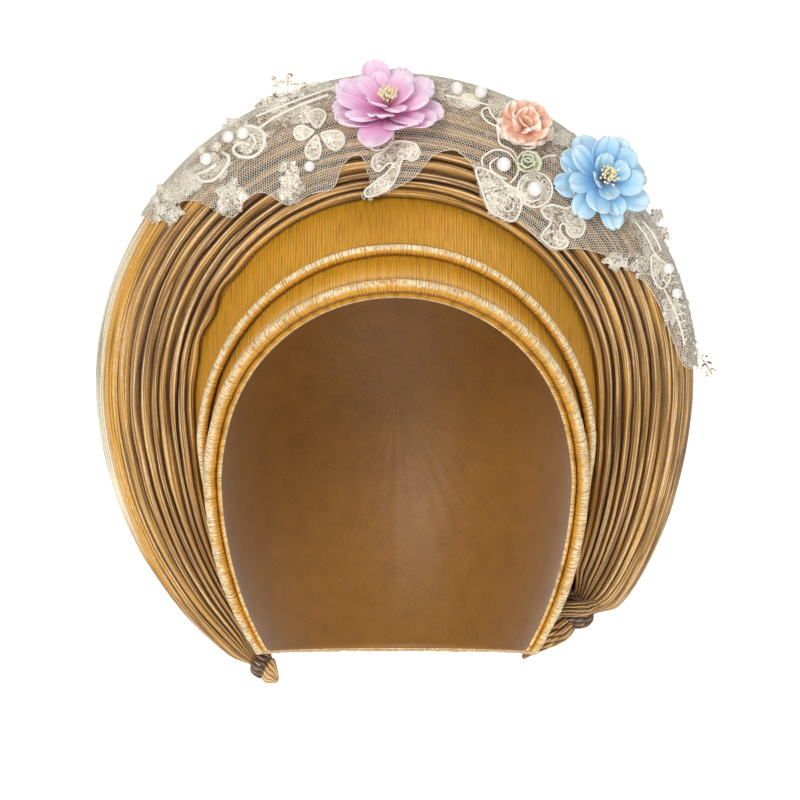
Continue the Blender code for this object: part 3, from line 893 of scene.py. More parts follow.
@dataclass(frozen=True)
class PetalFinish:
    """Cloth petal, deep at the base and pale at the rim."""

    name: str
    base: tuple
    body: tuple
    rim: tuple
    base_span: tuple = (0.0, 0.55)
    rim_span: tuple = (0.55, 1.0)

    def build(self) -> Material:
        """Make the material."""
        g = Graph(self.name)
        reach, tone = g.read("crest"), g.read("tone")
        grain = g.noise(g.place((1400.0,) * 3))
        vein = g.noise(g.cloth(60.0, 900.0))
        colour = g.mix(g.ramp(reach, *self.base_span), self.base, self.body)
        colour = g.mix(g.ramp(reach, *self.rim_span), colour, self.rim)
        colour = g.mix(g.times(tone, 0.5), colour, self.rim)
        shade = g.times(g.ramp(grain, 0.3, 0.7, 0.94, 1.05), g.ramp(vein, 0.3, 0.7, 0.93, 1.05))
        colour = g.tint(colour, shade)
        g.bump(grain, 0.0001, 0.3)
        return g.finish(base_color=colour, roughness=0.68, sheen_weight=0.35, sheen_roughness=0.4,
                        subsurface_weight=0.12, subsurface_scale=0.002, specular_ior_level=0.3)


@dataclass(frozen=True)
class PearlFinish:
    """White imitation pearl."""

    name: str
    colour: tuple

    def build(self) -> Material:
        """Make the material."""
        g = Graph(self.name)
        return g.finish(base_color=self.colour, roughness=0.2, coat_weight=0.6, coat_roughness=0.08,
                        sheen_weight=0.3, subsurface_weight=0.15, subsurface_scale=0.001)


@dataclass(frozen=True)
class PlainFinish:
    """One even colour for floor and backdrop."""

    name: str
    colour: tuple
    roughness: float = 0.9
    glow: tuple = (0.34, 0.8)
    glow_span: tuple = (0.8, 3.2)

    def build(self) -> Material:
        """Make the material, with a glow that grows towards the back."""
        g = Graph(self.name)
        split = g.tree.nodes.new("ShaderNodeSeparateXYZ")
        g.feed(split.inputs[0], g.place((1.0, 1.0, 1.0)))
        return g.finish(base_color=self.colour, roughness=self.roughness,
                        emission_color=self.colour,
                        emission_strength=g.ramp(split.outputs["Y"], *self.glow_span, *self.glow))


# Brow bands and cap

FACE_MIDDLE = np.array((0.0, 0.0, -100.0))
GRAIN_CREST = 0.66
GRAIN_SHARE = 0.3


@dataclass(frozen=True)
class Ribs:
    """Fine irregular ribs that run across a band."""

    pitch: float
    height: float
    seed: int

    def rise(self, length: Array) -> tuple:
        """Rib height at a length along the band.

        Args:
            length: Millimetres along the band.

        Returns:
            Height in millimetres, and the share of it from 0 to 1.
        """
        warped = length + 0.8 * Ripple(self.seed).at(length, 17.0)
        share = np.abs(np.sin(math.pi * warped / self.pitch)) ** 0.7
        strength = np.clip(0.62 + 0.5 * Ripple(self.seed + 1).at(length, 7.0), 0.1, 1.2)
        return self.height * share * strength, 0.5 + (share - 0.5) * strength


@dataclass(frozen=True)
class CrownCap:
    """Thin dome over the crown and back of the head."""

    wall: float = 1.6
    girth: float = 78.0
    setback: float = -0.5
    gather_outside: float = 0.55
    gather_inside: float = 0.22
    rows: int = 34
    face: tuple = (-48.0, 227.4)
    nape: tuple = (234.0, 240.0, 244.0, 247.0, 251.0, 257.0, 264.0, 270.0, 276.0, 283.0, 289.0,
                   293.0, 296.0, 300.0, 306.0)

    def angles(self, face_count: int, split: int) -> Array:
        """Angles of the stations round the opening, closer at the corners of the nape.

        Args:
            face_count: Stations over the face.
            split: Stations for each row of the nape.

        Returns:
            Degrees round the hub.
        """
        knots = np.array((self.face[1], *self.nape, self.face[0] + 360.0))
        steps = np.arange((len(knots) - 1) * split) / split
        return np.concatenate([np.linspace(*self.face, face_count, endpoint=False),
                               np.interp(steps, np.arange(len(knots)), knots)])

    def build(self, material: Material, lining: Material) -> Piece:
        """Make the cap, gathered outside and lined inside.

        Args:
            material: Finish of the outside.
            lining: Finish of the inside, darker than the outside as painted shade in the hollow
                cap.

        Returns:
            The piece.
        """
        angles = self.angles(150, 4)
        turn = np.radians(angles)
        start = RIM.clear_tilt(angles, self.setback)
        shares = np.linspace(0.0, 0.97, self.rows) ** 1.15
        order = np.concatenate([shares[::-1], shares])[:, None]
        outer = np.arange(len(order))[:, None] >= self.rows
        tilt = start + (179.9 - start) * order
        fold = (0.35 * np.sin(46.0 * turn + 1.3 * np.sin(5.0 * turn))
                + 0.25 * np.sin(23.0 * turn + 0.7))
        gather = np.where(outer, self.gather_outside, self.gather_inside)
        lift = self.wall * outer + gather * np.sin(math.pi * order) ** 0.7 * (fold + 0.6)
        skin = tube_skin(HEAD.point(angles, tilt, lift),
                         cloth_lengths(self.girth * turn, self.girth * np.radians(tilt)),
                         np.where(outer, 0.5 + 0.5 * fold, 0.5), 1.0 - outer,
                         poles=(HEAD.point(0.0, 179.99), HEAD.point(0.0, 179.99, self.wall)))
        piece = Piece("cap_cloth", Slot.GOLD, ["crown_cap"]).from_skin(skin, material)
        mesh = piece.item.data
        mesh.materials.append(lining)
        inside = self.rows * len(angles)
        for face in mesh.polygons:
            face.material_index = int(max(face.vertices) < inside or 2 * inside in face.vertices)
        return piece.sheet(0.30, "stretched", ["rim_padding"])


def roll_shading(roll: Array, centre: Array) -> tuple:
    """Shares of highlight and of light over a roll that faces the front.

    Args:
        roll: Points round the roll, a row for each station.
        centre: Middle of the roll at each station.

    Returns:
        Highlight on the side away from the face, and light that fades into the crease on the other.
    """
    away = unit((centre - FACE_MIDDLE) * (1.0, 0.0, 1.0))
    side = np.sum(unit(roll - centre[:, None]) * away[:, None], -1)
    return smooth_step(-0.3, 0.35, side), 0.2 + 0.8 * smooth_step(-0.95, -0.3, side)


@dataclass(frozen=True)
class RimRoll:
    """Padded roll that closes the cap's edge, right round the face and nape."""

    radius: float = 2.9
    nape_radius: float = 1.9
    floor: float = 1.6
    blend: tuple = (20.0, 42.0)
    sides: int = 20
    stations: int = 1900

    def build(self, material: Material) -> Piece:
        """Make the roll with its fine cross ribs.

        Args:
            material: Finish.

        Returns:
            The piece.
        """
        rough = CrownCap().angles(240, 24)
        here, _, _ = RIM.frame(rough)
        length = run_length(np.concatenate([here, here[:1]]))
        spaced = np.linspace(0.0, length[-1], self.stations, endpoint=False)
        angles = np.interp(spaced, length, np.append(rough, rough[0] + 360.0))
        edge, inward, normal = RIM.frame(angles)
        for _ in range(5):
            inward = 0.25 * np.roll(inward, 1, 0) + 0.5 * inward + 0.25 * np.roll(inward, -1, 0)
        inward = unit(inward)
        from_nape = smooth_step(*self.blend, np.abs((angles - 90.0) % 360.0 - 180.0))
        radius = (self.nape_radius + (self.radius - self.nape_radius) * from_nape)[:, None]
        centre = edge + inward * radius + normal * (self.floor + radius)
        rise, share = Ribs(1.32, 0.13, 5).rise(spaced)
        swell = 0.14 * Ripple(8).at(spaced, 38.0)
        turns = math.tau * (np.arange(self.sides) + 0.5) / self.sides
        slant = 3.0 * turns + 3.0 * Ripple(9).at(spaced, 60.0)[:, None]
        reach = radius - 0.1 + (rise + swell)[:, None] + 0.08 * np.sin(slant)
        loops = round_line(centre, reach, inward, normal, turns)
        # Painted highlight on the roll's outer half and painted shade fading into the crease on its
        # inner half
        tone, below = roll_shading(loops, centre)
        tone = np.clip(tone * (0.8 + 0.3 * Ripple(3).at(spaced, 30.0))[:, None], 0.0, 1.0)
        uv = cloth_lengths(spaced[:, None], turns * self.radius)
        skin = tube_skin(loops, uv, share[:, None] * below, tone, ring=True)
        piece = Piece("rim_padding", Slot.GOLD, ["rim_roll"]).from_skin(skin, material)
        return piece


def even_angles(edge: EdgeLine, stations: int) -> tuple:
    """Angles evenly spaced along the edge of a band.

    Args:
        edge: Line that the band follows.
        stations: How many.

    Returns:
        Angles, and the length along the edge in millimetres.
    """
    rough = np.linspace(*BAND_SPAN, 400)
    length = run_length(edge.frame(rough)[0])
    spaced = np.linspace(0.0, length[-1], stations)
    return np.interp(spaced, length, rough), spaced


def band_grain(crest: Array) -> Array:
    """Crest of a flat band, where the ribs are weak, in one column."""
    return GRAIN_CREST + GRAIN_SHARE * (crest[:, None] - GRAIN_CREST)


@dataclass(frozen=True)
class InnerBand:
    """Sheet from behind the rim roll to under the outer band's lip."""

    start: float = 5.8
    tuck: float = 5.0
    floor: float = 2.7
    top: float = 4.0
    breadth: float = 14.0
    rows: int = 13
    stations: int = 1300
    fullness: Curve = Curve(((0.0, 0.1), (0.12, 0.9), (0.3, 1.0), (0.6, 0.35), (1.0, 0.0)))

    def build(self, material: Material) -> Piece:
        """Make the ribbed inner band.

        Args:
            material: Finish.

        Returns:
            The piece.
        """
        angles, spaced = even_angles(RIM, self.stations)
        angle = angles[:, None]
        start = RIM.clear_tilt(angles, self.start)[:, None]
        end = LIP.clear_tilt(angles, self.tuck)[:, None]
        shares, plain = np.linspace(0.0, 1.0, self.rows), np.zeros(self.rows)
        rise, crest = Ribs(1.45, 0.1, 21).rise(spaced)
        tilt = start + (end - start) * shares
        lift = self.top + 0.6 * self.fullness.at(shares) + 0.4 * rise[:, None]
        loops = np.concatenate([HEAD.point(angle, tilt, lift),
                                HEAD.point(angle, tilt[:, ::-1], self.floor)], 1)
        across = np.concatenate([shares, shares[::-1]]) * self.breadth
        # Painted shade where the band leaves the rim roll and on its hidden underside, with painted
        # highlight along that lower part
        light = np.concatenate([0.45 + 0.55 * smooth_step(0.0, 0.22, shares), plain + 0.3])
        tone = np.concatenate([0.3 * (1.0 - smooth_step(0.0, 0.4, shares)), plain])
        skin = tube_skin(loops, cloth_lengths(loops[..., 0], across), band_grain(crest) * light,
                         tone)
        piece = Piece("inner_band_cloth", Slot.GOLD, ["inner_band"]).from_skin(skin, material)
        return piece.sheet(0.024, "stretched", ["rim_padding"])


@dataclass(frozen=True)
class OuterBand:
    """Second fold over the brow: a rolled lower lip and a sheet that runs up under the fan."""

    radius: float = 2.3
    thin: float = 0.35
    thin_span: float = 18.0
    floor: float = 5.2
    top: float = 6.3
    wall: float = 1.5
    clearance: float = 2.2
    lip_girth: float = 11.0
    rows: int = 12
    stations: int = 1400
    behind: tuple = ((0.7, 2.9), (0.3, 5.5), (-1.0, 9.0))
    turns: tuple = (-90, -115, -140, -165, -190, -215, -240, -265, -290, -315, -345, -375)

    def panel(self, angles: Array, radius: Array) -> Array:
        """Sheet from the lip to behind the fan's inner edge.

        Args:
            angles: Degrees round the hub.
            radius: Radius of the lip at each of them.

        Returns:
            Points, a row for each angle.
        """
        shares = np.linspace(0.0, 1.0, self.rows)
        start = LIP.clear_tilt(angles, 2.0 * radius + self.clearance)
        end = np.maximum(HALO.tuck_tilt(angles), start + 4.0)
        tilt = start[:, None] + (end - start)[:, None] * shares
        points = HEAD.point(angles[:, None], tilt, self.top)
        behind = HALO.to_space(angles, HALO.place(angles, 0.0)[:, None] + np.array(self.behind))
        points = points + (behind[:, :1] - points) * smooth_step(0.15, 1.0, shares)[:, None]
        return np.concatenate([points, behind[:, 1:]], 1)

    def build(self, material: Material) -> Piece:
        """Make the ribbed outer band.

        Args:
            material: Finish.

        Returns:
            The piece.
        """
        angles, spaced = even_angles(LIP, self.stations)
        near = np.minimum(angles - BAND_SPAN[0], BAND_SPAN[1] - angles)
        full = self.thin + (1.0 - self.thin) * smooth_step(0.0, self.thin_span, near)
        radius = self.radius * full
        rise, crest = Ribs(1.4, 0.12, 31).rise(spaced)
        edge, along, normal = LIP.frame(angles)
        centre = edge + along * radius[:, None] + normal * (self.floor + radius)[:, None]
        turns = np.radians(self.turns)
        wave = 0.12 * np.sin(2.0 * turns + 2.0 * Ripple(14).at(spaced, 55.0)[:, None])
        reach = (radius - 0.1 + rise)[:, None] + wave
        roll = round_line(centre, reach, along, normal, turns)
        panel = self.panel(angles, radius)
        away = unit(np.cross(np.gradient(panel, axis=0), np.gradient(panel, axis=1)))
        away = away * np.sign(np.sum(away[:, :1] * normal[:, None], -1, keepdims=True))
        top, floor = panel + away * (0.25 * rise)[:, None, None], panel - away * self.wall
        travel = self.lip_girth + run_length(np.swapaxes(panel, 0, 1)).T
        lip, plain = np.zeros_like(reach), np.zeros_like(travel)
        uv = cloth_lengths(
            np.concatenate([lip + spaced[:, None], panel[..., 0], panel[:, ::-1, 0]], 1),
            np.concatenate([lip + np.linspace(0.0, self.lip_girth, len(turns)), travel,
                            travel[:, ::-1]], 1))
        # Painted highlight on the lip roll's outer half and painted shade into the crease under it
        tone, below = roll_shading(roll, centre)
        # Painted shadow of the fan: the sheet's crest falls towards its far edge under the fan
        fade = smooth_step(0.55, 0.95, np.arange(travel.shape[1]) / (self.rows - 1.0))
        grain = band_grain(crest) * (1.0 - 0.6 * fade)
        skin = tube_skin(np.concatenate([roll, top, floor[:, ::-1]], 1), uv,
                         np.concatenate([crest[:, None] * below, grain, plain + 0.2], 1),
                         np.concatenate([tone, plain, plain], 1))
        piece = Piece("outer_band_cloth", Slot.GOLD, ["outer_band"]).from_skin(skin, material)
        return piece.sheet(0.06, "stretched", ["inner_band_cloth"])


# Halo of pleats


@dataclass(frozen=True)
class PleatRow:
    """Where one valley between pleats lies, as shares of the fan's width, and its pleat's looks."""

    left: float
    top: float
    right: float
    rise: float
    pale: float


@dataclass(frozen=True)
class PleatFan:
    """Front cloth of the halo with rounded ridges and sharp valleys."""

    rows: tuple = (
        PleatRow(0.00, 0.00, 0.00, 0.75, 0.36),
        PleatRow(0.10, 0.09, 0.12, 1.05, 0.12),
        PleatRow(0.23, 0.20, 0.24, 0.80, 0.00),
        PleatRow(0.34, 0.30, 0.37, 1.10, 0.22),
        PleatRow(0.47, 0.42, 0.48, 0.90, 0.06),
        PleatRow(0.58, 0.54, 0.62, 1.00, 0.16),
        PleatRow(0.72, 0.67, 0.73, 1.10, 0.10),
        PleatRow(0.84, 0.83, 0.87, 0.95, 0.34),
        PleatRow(1.00, 1.00, 1.00, 0.00, 0.00),
    )
    wanders: tuple = ((60, 130.0), (70, 60.0), (80, 70.0), (90, 50.0))
    steps: int = 18
    back_steps: int = 2
    stations: int = 300
    grooves: float = 3.0
    groove_depth: float = 0.2
    taper_width: float = 34.0
    flutter: float = 1.3
    flutter_share: float = 0.09

    def valley(self, angle: Array, index: int) -> Array:
        """Share of the width at which a valley lies.

        Args:
            angle: Degrees round the hub.
            index: Which valley.

        Returns:
            Share for each angle.
        """
        row = self.rows[index]
        share = Curve(((-30.0, row.right), (90.0, row.top), (200.0, row.left))).at(angle)
        if 0 < index < len(self.rows) - 1:
            share = share + 0.017 * Ripple(40 + index).at(angle, 85.0)
        return share * HALO.share

    def build(self, material: Material) -> Piece:
        """Make the pleats.

        Args:
            material: Finish.

        Returns:
            The piece.
        """
        angles = HALO.stations(self.stations)
        angle = angles[:, None]
        height, taper = HALO.height(angle), np.minimum(1.0, HALO.width(angle) / self.taper_width)
        t, rough = np.arange(self.steps) / self.steps, np.arange(self.back_steps) / self.back_steps
        front, back, crests, tones, shares = [], [], [], [], []
        for index, row in enumerate(self.rows[:-1]):
            low = self.valley(angle, index)
            span = self.valley(angle, index + 1) - low
            lean, phase, wander, glow = (Ripple(seed + index).at(angle, pitch)
                                         for seed, pitch in self.wanders)
            skewed = np.clip(t + 0.06 * lean * np.sin(math.pi * t), 0.0, 1.0)
            arch = np.maximum(np.sin(math.pi * skewed), 0.0) ** 0.5
            groove = 0.5 - 0.5 * np.cos(math.tau * self.grooves * t + 1.4 * phase)
            cut = self.groove_depth * taper * groove * np.sin(math.pi * t) ** 0.5
            shares.append(low + span * t)
            front.append(HALO.offset(angle, shares[-1],
                                     height * row.rise * (1.0 + 0.14 * wander) * arch - cut))
            back.append(HALO.offset(angle, low + span * rough,
                                    height * row.rise * np.sin(math.pi * rough) - HALO.wall))
            # Crest share: low in the valleys, where the finish paints shade, and high on the
            # ridges, where it paints highlight
            crests.append(np.clip(arch * (0.72 + 0.28 * row.rise) - 0.16 * groove, 0.0, 1.0))
            tones.append(row.pale * (0.6 + 0.4 * glow) + 0.0 * t)
        front.append(HALO.offset(angle, HALO.share, 0.0))
        back.append(HALO.offset(angle, HALO.share, -HALO.wall))
        behind = np.concatenate(back, 1)[:, ::-1]
        last, plain = np.zeros_like(angle), np.zeros(behind.shape[:2])
        share = np.concatenate(shares + [last + HALO.share], 1)
        fade = np.concatenate([np.clip(1.0 - share / self.flutter_share, 0.0, 1.0), plain + 1.0], 1)
        wave = np.exp(-((angle - 158.0) / 15.0) ** 2) * np.sin(np.radians(angle * 22.0))
        spots = np.concatenate(front + [behind], 1)
        spots[..., 0] += self.flutter * wave * fade
        loops = HALO.to_space(angles, HALO.drawn_in(angles, spots))
        across = np.concatenate([share * HALO.full_width, plain], 1)
        skin = tube_skin(loops, cloth_lengths(run_length(loops[:, 60])[:, None], across),
                         np.concatenate(crests + [last, plain + 0.4], 1),
                         np.clip(np.concatenate(tones + [last, plain], 1), 0.0, 1.0))
        piece = Piece("fan_pleats", Slot.BRONZE, ["pleat_fan"]).from_skin(skin, material)
        return piece.sheet(0.075, "gathered", ["outer_band_cloth"])


@dataclass(frozen=True)
class OuterDrape:
    """Broad outermost layer, folded over the halo's edge and brought back to the cap."""

    wall: float = 1.6
    pleat: float = 3.4
    rise: float = 0.55
    stations: int = 300
    turns: tuple = (-50, -38, -26, -13, 0, 14, 28, 43, 58, 74, 90)
    returns: tuple = tuple(np.linspace(0.08, 1.0, 32))
    splits: tuple = (0.0, 0.33, 0.66)

    def line(self, angles: Array, lift: Values) -> Array:
        """Line of the layer, with points added on its broad front part.

        Args:
            angles: Degrees round the hub.
            lift: Height above the inner face.

        Returns:
            Radius and depth, a row for each angle.
        """
        line = HALO.drape(angles, lift, self.turns, self.returns)
        fine = [line[:, k] + (line[:, k + 1] - line[:, k]) * t for k in (0, 1) for t in self.splits]
        return np.concatenate([np.stack(fine, 1), line[:, 2:]], 1)

    def build(self, material: Material) -> Piece:
        """Make the layer with shallow pleats.

        Args:
            material: Finish.

        Returns:
            The piece.
        """
        angles = HALO.stations(self.stations)
        full = HALO.gather(angles)
        gather = full[:, None]
        outside, inside = self.line(angles, self.wall * full), self.line(angles, 0.0)
        normal = unit(square_to(np.gradient(outside, axis=1)))
        travel = run_length(np.swapaxes(outside, 0, 1)).T
        phase = travel / self.pleat + 0.35 * Ripple(51).at(angles, 80.0)[:, None]
        ridge = np.abs(np.sin(math.pi * phase)) ** 0.7
        soft = smooth_step(0.4, 3.0, np.minimum(travel, travel[:, -1:] - travel))
        rise = self.rise * (ridge - 0.55) * soft * gather
        outside = outside + normal * rise[..., None] * -np.sign(normal[:, 3:4, 1:2])
        spots = np.concatenate([outside, inside[:, ::-1]], 1)
        loops = HALO.to_space(angles, HALO.drawn_in(angles, spots))
        # Painted highlight: paler on the left side and at the fold's rim there, where light falls,
        # and less pale on the right; the crest follows the shallow ridges, with painted shade in
        # their valleys
        left = (smooth_step(125.0, 158.0, angles) * (1.0 - smooth_step(200.0, 232.0, angles)))
        right = 1.0 - smooth_step(-14.0, 30.0, angles)
        fold = HALO.fold * gather
        past = outside[..., 0] - (HALO.column(angles, 2)[:, None] - 0.5 * fold)
        rim = smooth_step(0.0, 1.0, past / (0.4 * fold))
        near = smooth_step(0.3, 2.0, travel) * (1.0 - smooth_step(26.0, 40.0, travel))
        tone = near * (0.3 + 0.7 * left - 0.2 * right)[:, None] * (0.5 + 0.5 * rim * left[:, None])
        plain = np.zeros_like(travel)
        across = np.concatenate([travel, travel[:, ::-1]], 1)
        skin = tube_skin(loops, cloth_lengths(run_length(loops[:, 8])[:, None], across),
                         np.concatenate([0.35 + 0.6 * ridge, plain + 0.3], 1),
                         np.concatenate([tone, plain], 1))
        piece = Piece("drape_cloth", Slot.BRONZE, ["outer_drape"]).from_skin(skin, material)
        return piece.sheet(0.10, "folded", ["fan_pleats"])


# Gathered ends


@dataclass(frozen=True)
class LoftRow:
    """Oval section at one angle round the hub."""

    angle: float
    radius: float
    depth: float
    half_width: float
    half_depth: float


@dataclass(frozen=True)
class GatheredEnd:
    """Short length of cloth drawn together, with ridges lengthwise."""

    name: str
    slot: Slot
    rows: tuple
    ridges: int
    ridge_height: float
    twist: float = 0.0
    tone: float = 0.1
    width: float = 0.014
    girth: float = 6.0
    sides: int = 96
    stations: int = 40

    def build(self, material: Material) -> Piece:
        """Make the piece through its sections.

        Args:
            material: Finish.

        Returns:
            The piece.
        """
        t, knots = (np.linspace(0.0, 1.0, count) for count in (self.stations, len(self.rows)))
        angle, radius, depth, wide, deep = (Curve(tuple(zip(knots, column))).at(t)[:, None]
                                            for column in zip(*map(astuple, self.rows)))
        w = math.tau * np.arange(self.sides) / self.sides
        wander = 0.9 * Ripple(len(self.name)).at(t, 0.9)[:, None] * np.sin(w)
        count = 0.5 * (self.ridges + self.ridges % 2)
        fold = np.abs(np.sin(count * (w + self.twist * t[:, None]) + wander)) ** 0.8
        cut = np.minimum(self.ridge_height, 0.3 * np.minimum(wide, deep)) * (1.0 - fold)
        spots = np.stack([radius + (wide - cut) * np.cos(w), depth + (deep - cut) * np.sin(w)], -1)
        loops = HALO.to_space(angle[:, 0], spots)
        uv = cloth_lengths(run_length(loops[:, 0])[:, None], w * self.girth)
        # Painted shade in the grooves, and the end's pale variation stronger on the ridges as
        # painted highlight
        skin = tube_skin(loops, uv, 0.1 + 0.9 * fold, self.tone * (0.4 + 0.6 * fold))
        piece = Piece(self.name + "_cloth", self.slot, [self.name]).from_skin(skin, material)
        return piece.sheet(self.width, "gathered", ["fan_pleats"])


ENDS = (
    GatheredEnd("left_tie", Slot.DARK, (
        LoftRow(242.5, 137.3, 39.5, 3.6, 3.8),
        LoftRow(243.2, 137.6, 39.5, 6.2, 6.2),
        LoftRow(244.8, 138.4, 39.3, 6.4, 6.2),
        LoftRow(245.7, 138.8, 39.0, 4.8, 4.4)), 13, 1.1, 0.8),
    GatheredEnd("left_tail", Slot.BRONZE, (
        LoftRow(245.0, 138.8, 38.6, 4.6, 4.2),
        LoftRow(246.1, 139.5, 38.1, 5.8, 4.8),
        LoftRow(247.3, 140.8, 37.4, 3.8, 3.6),
        LoftRow(248.3, 142.0, 36.8, 1.0, 1.0)), 13, 1.0, tone=0.75),
    GatheredEnd("right_tie", Slot.DARK, (
        LoftRow(-49.2, 127.6, 36.6, 6.6, 5.4),
        LoftRow(-50.6, 127.4, 36.8, 9.8, 8.4),
        LoftRow(-52.6, 126.8, 37.0, 10.2, 9.0),
        LoftRow(-54.6, 127.0, 37.2, 6.8, 5.8)), 15, 1.7, 1.1),
    GatheredEnd("right_strap", Slot.BRONZE, (
        LoftRow(-47.6, 131.8, 26.6, 2.4, 1.6),
        LoftRow(-50.0, 129.8, 25.0, 4.0, 2.5),
        LoftRow(-53.0, 125.5, 25.2, 4.0, 2.5),
        LoftRow(-56.6, 120.4, 26.6, 2.8, 2.0)), 9, 0.9, 0.6, tone=0.0),
    GatheredEnd("right_tail", Slot.BRONZE, (
        LoftRow(-53.4, 128.4, 37.6, 6.2, 5.6),
        LoftRow(-56.4, 129.2, 37.0, 7.6, 6.0),
        LoftRow(-60.0, 129.9, 37.0, 6.0, 4.6),
        LoftRow(-63.0, 131.6, 39.2, 3.6, 2.6),
        LoftRow(-65.4, 134.2, 40.0, 0.8, 0.8)), 11, 1.6, 1.7, tone=0.12),
)


# Repeated small shapes


def place_angles(directions: Array) -> Array:
    """Turns, as Euler angles, that take the upright axis onto directions."""
    flat = np.hypot(directions[..., 0], directions[..., 1])
    lean = np.arctan2(flat, directions[..., 2])
    spin = np.arctan2(directions[..., 1], directions[..., 0])
    return np.stack([np.zeros_like(lean), lean, spin], -1)


class Scatter:
    """Geometry Nodes tree that puts a small shape on every point of a cloud."""

    def __init__(self) -> None:
        """Build the tree with named inputs."""
        self.tree = bpy.data.node_groups.new("scatter", "GeometryNodeTree")
        face = self.tree.interface
        self.keys = {name: face.new_socket(name, in_out="INPUT",
                                           socket_type="NodeSocket" + kind).identifier
                     for name, kind in (("Cloud", "Geometry"), ("Shape", "Object"),
                                        ("Finish", "Material"))}
        face.new_socket("Geometry", in_out="OUTPUT", socket_type="NodeSocketGeometry")
        add, link = self.tree.nodes.new, self.tree.links.new
        start, end, info, put, real, paint = map(add, (
            "NodeGroupInput", "NodeGroupOutput", "GeometryNodeObjectInfo",
            "GeometryNodeInstanceOnPoints", "GeometryNodeRealizeInstances",
            "GeometryNodeSetMaterial"))
        info.inputs["As Instance"].default_value = True
        for key, socket in (("turn", "Rotation"), ("size", "Scale")):
            read = add("GeometryNodeInputNamedAttribute")
            read.data_type = "FLOAT_VECTOR"
            read.inputs["Name"].default_value = key
            link(read.outputs["Attribute"], put.inputs[socket])
        for source, out, target, into in (
                (start, "Shape", info, "Object"), (start, "Cloud", put, "Points"),
                (info, "Geometry", put, "Instance"), (put, "Instances", real, "Geometry"),
                (real, "Geometry", paint, "Geometry"), (start, "Finish", paint, "Material"),
                (paint, "Geometry", end, "Geometry")):
            link(source.outputs[out], target.inputs[into])

    def mesh(self, shape: Skin, places: Array, turns: Array, sizes: Array,
             material: Material) -> Mesh:
        """Instance a shape on points and make it one real mesh.

        Args:
            shape: The small shape, of about unit size.
            places: Points in millimetres.
            turns: Euler angles, one row for each point.
            sizes: Scales in millimetres, one row for each point.
            material: Finish.

        Returns:
            A mesh in metres.
        """
        small = bpy.data.meshes.new("shape")
        small.from_pydata(shape.points.tolist(), [], shape.faces)
        crest = small.attributes.new("crest", "FLOAT", "POINT")
        crest.data.foreach_set("value", shape.crest.astype(np.float32))
        small.shade_smooth()
        cloud = bpy.data.meshes.new("cloud")
        cloud.from_pydata((places * MM).tolist(), [], [])
        for key, values in (("turn", turns), ("size", sizes * MM)):
            layer = cloud.attributes.new(key, "FLOAT_VECTOR", "POINT")
            layer.data.foreach_set("vector", np.ascontiguousarray(values, np.float32).ravel())
        items = [shown(mesh.name, mesh) for mesh in (small, cloud)]
        modifier = items[1].modifiers.new("scatter", "NODES")
        modifier.node_group = self.tree
        modifier[self.keys["Shape"]] = items[0]
        modifier[self.keys["Finish"]] = material
        graph = bpy.context.evaluated_depsgraph_get()
        made = bpy.data.meshes.new_from_object(items[1].evaluated_get(graph), depsgraph=graph)
        for item in items:
            bpy.data.objects.remove(item, do_unlink=True)
        for key in ("turn", "size"):
            if key in made.attributes:
                made.attributes.remove(made.attributes[key])
        return made


def lathe(profile: Sequence, sides: int) -> Skin:
    """Small closed shape turned round the upright axis.

    Args:
        profile: Rows of radius, height and crest, with a pole at either end.
        sides: Points round it.

    Returns:
        The skin.
    """
    radius, height, crest = np.array(profile, float)[1:-1].T[..., None]
    w = math.tau * np.arange(sides) / sides
    loops = np.stack(np.broadcast_arrays(radius * np.cos(w), radius * np.sin(w), height), -1)
    return outward(tube_skin(loops, 0.0, crest, poles=tuple(
        (0.0, 0.0, row[1]) for row in (profile[0], profile[-1]))))


def strand_shape() -> Skin:
    """Four-faced strand of unit length whose ends stand crosswise."""
    points = np.array(((-1.3, 0.0, -0.5), (1.3, 0.0, -0.5), (0.0, -1.3, 0.5), (0.0, 1.3, 0.5)))
    faces = [(0, 1, 2), (0, 3, 1), (0, 2, 3), (1, 3, 2)]
    return outward(Skin(points, faces, np.zeros((4, 2)), np.full(4, 0.5), np.zeros(4)))


def loop_shape() -> Skin:
    """Small uneven loop of thread of about unit radius."""
    a = math.tau * np.arange(9) / 9
    reach = 1.0 + 0.22 * np.sin(2.0 * a + 0.6)
    centre = np.stack([reach * np.cos(a), 0.72 * reach * np.sin(a), 0.12 * np.sin(3.0 * a)], -1)
    away = np.stack([np.cos(a), np.sin(a), 0.0 * a], -1)
    turns = math.tau * np.arange(3) / 3
    loops = round_line(centre, np.full((9, 1), 0.17), away, np.array(((0.0, 0.0, 1.0),)), turns)
    return outward(tube_skin(loops, 0.0, 0.7, ring=True))


# Lace


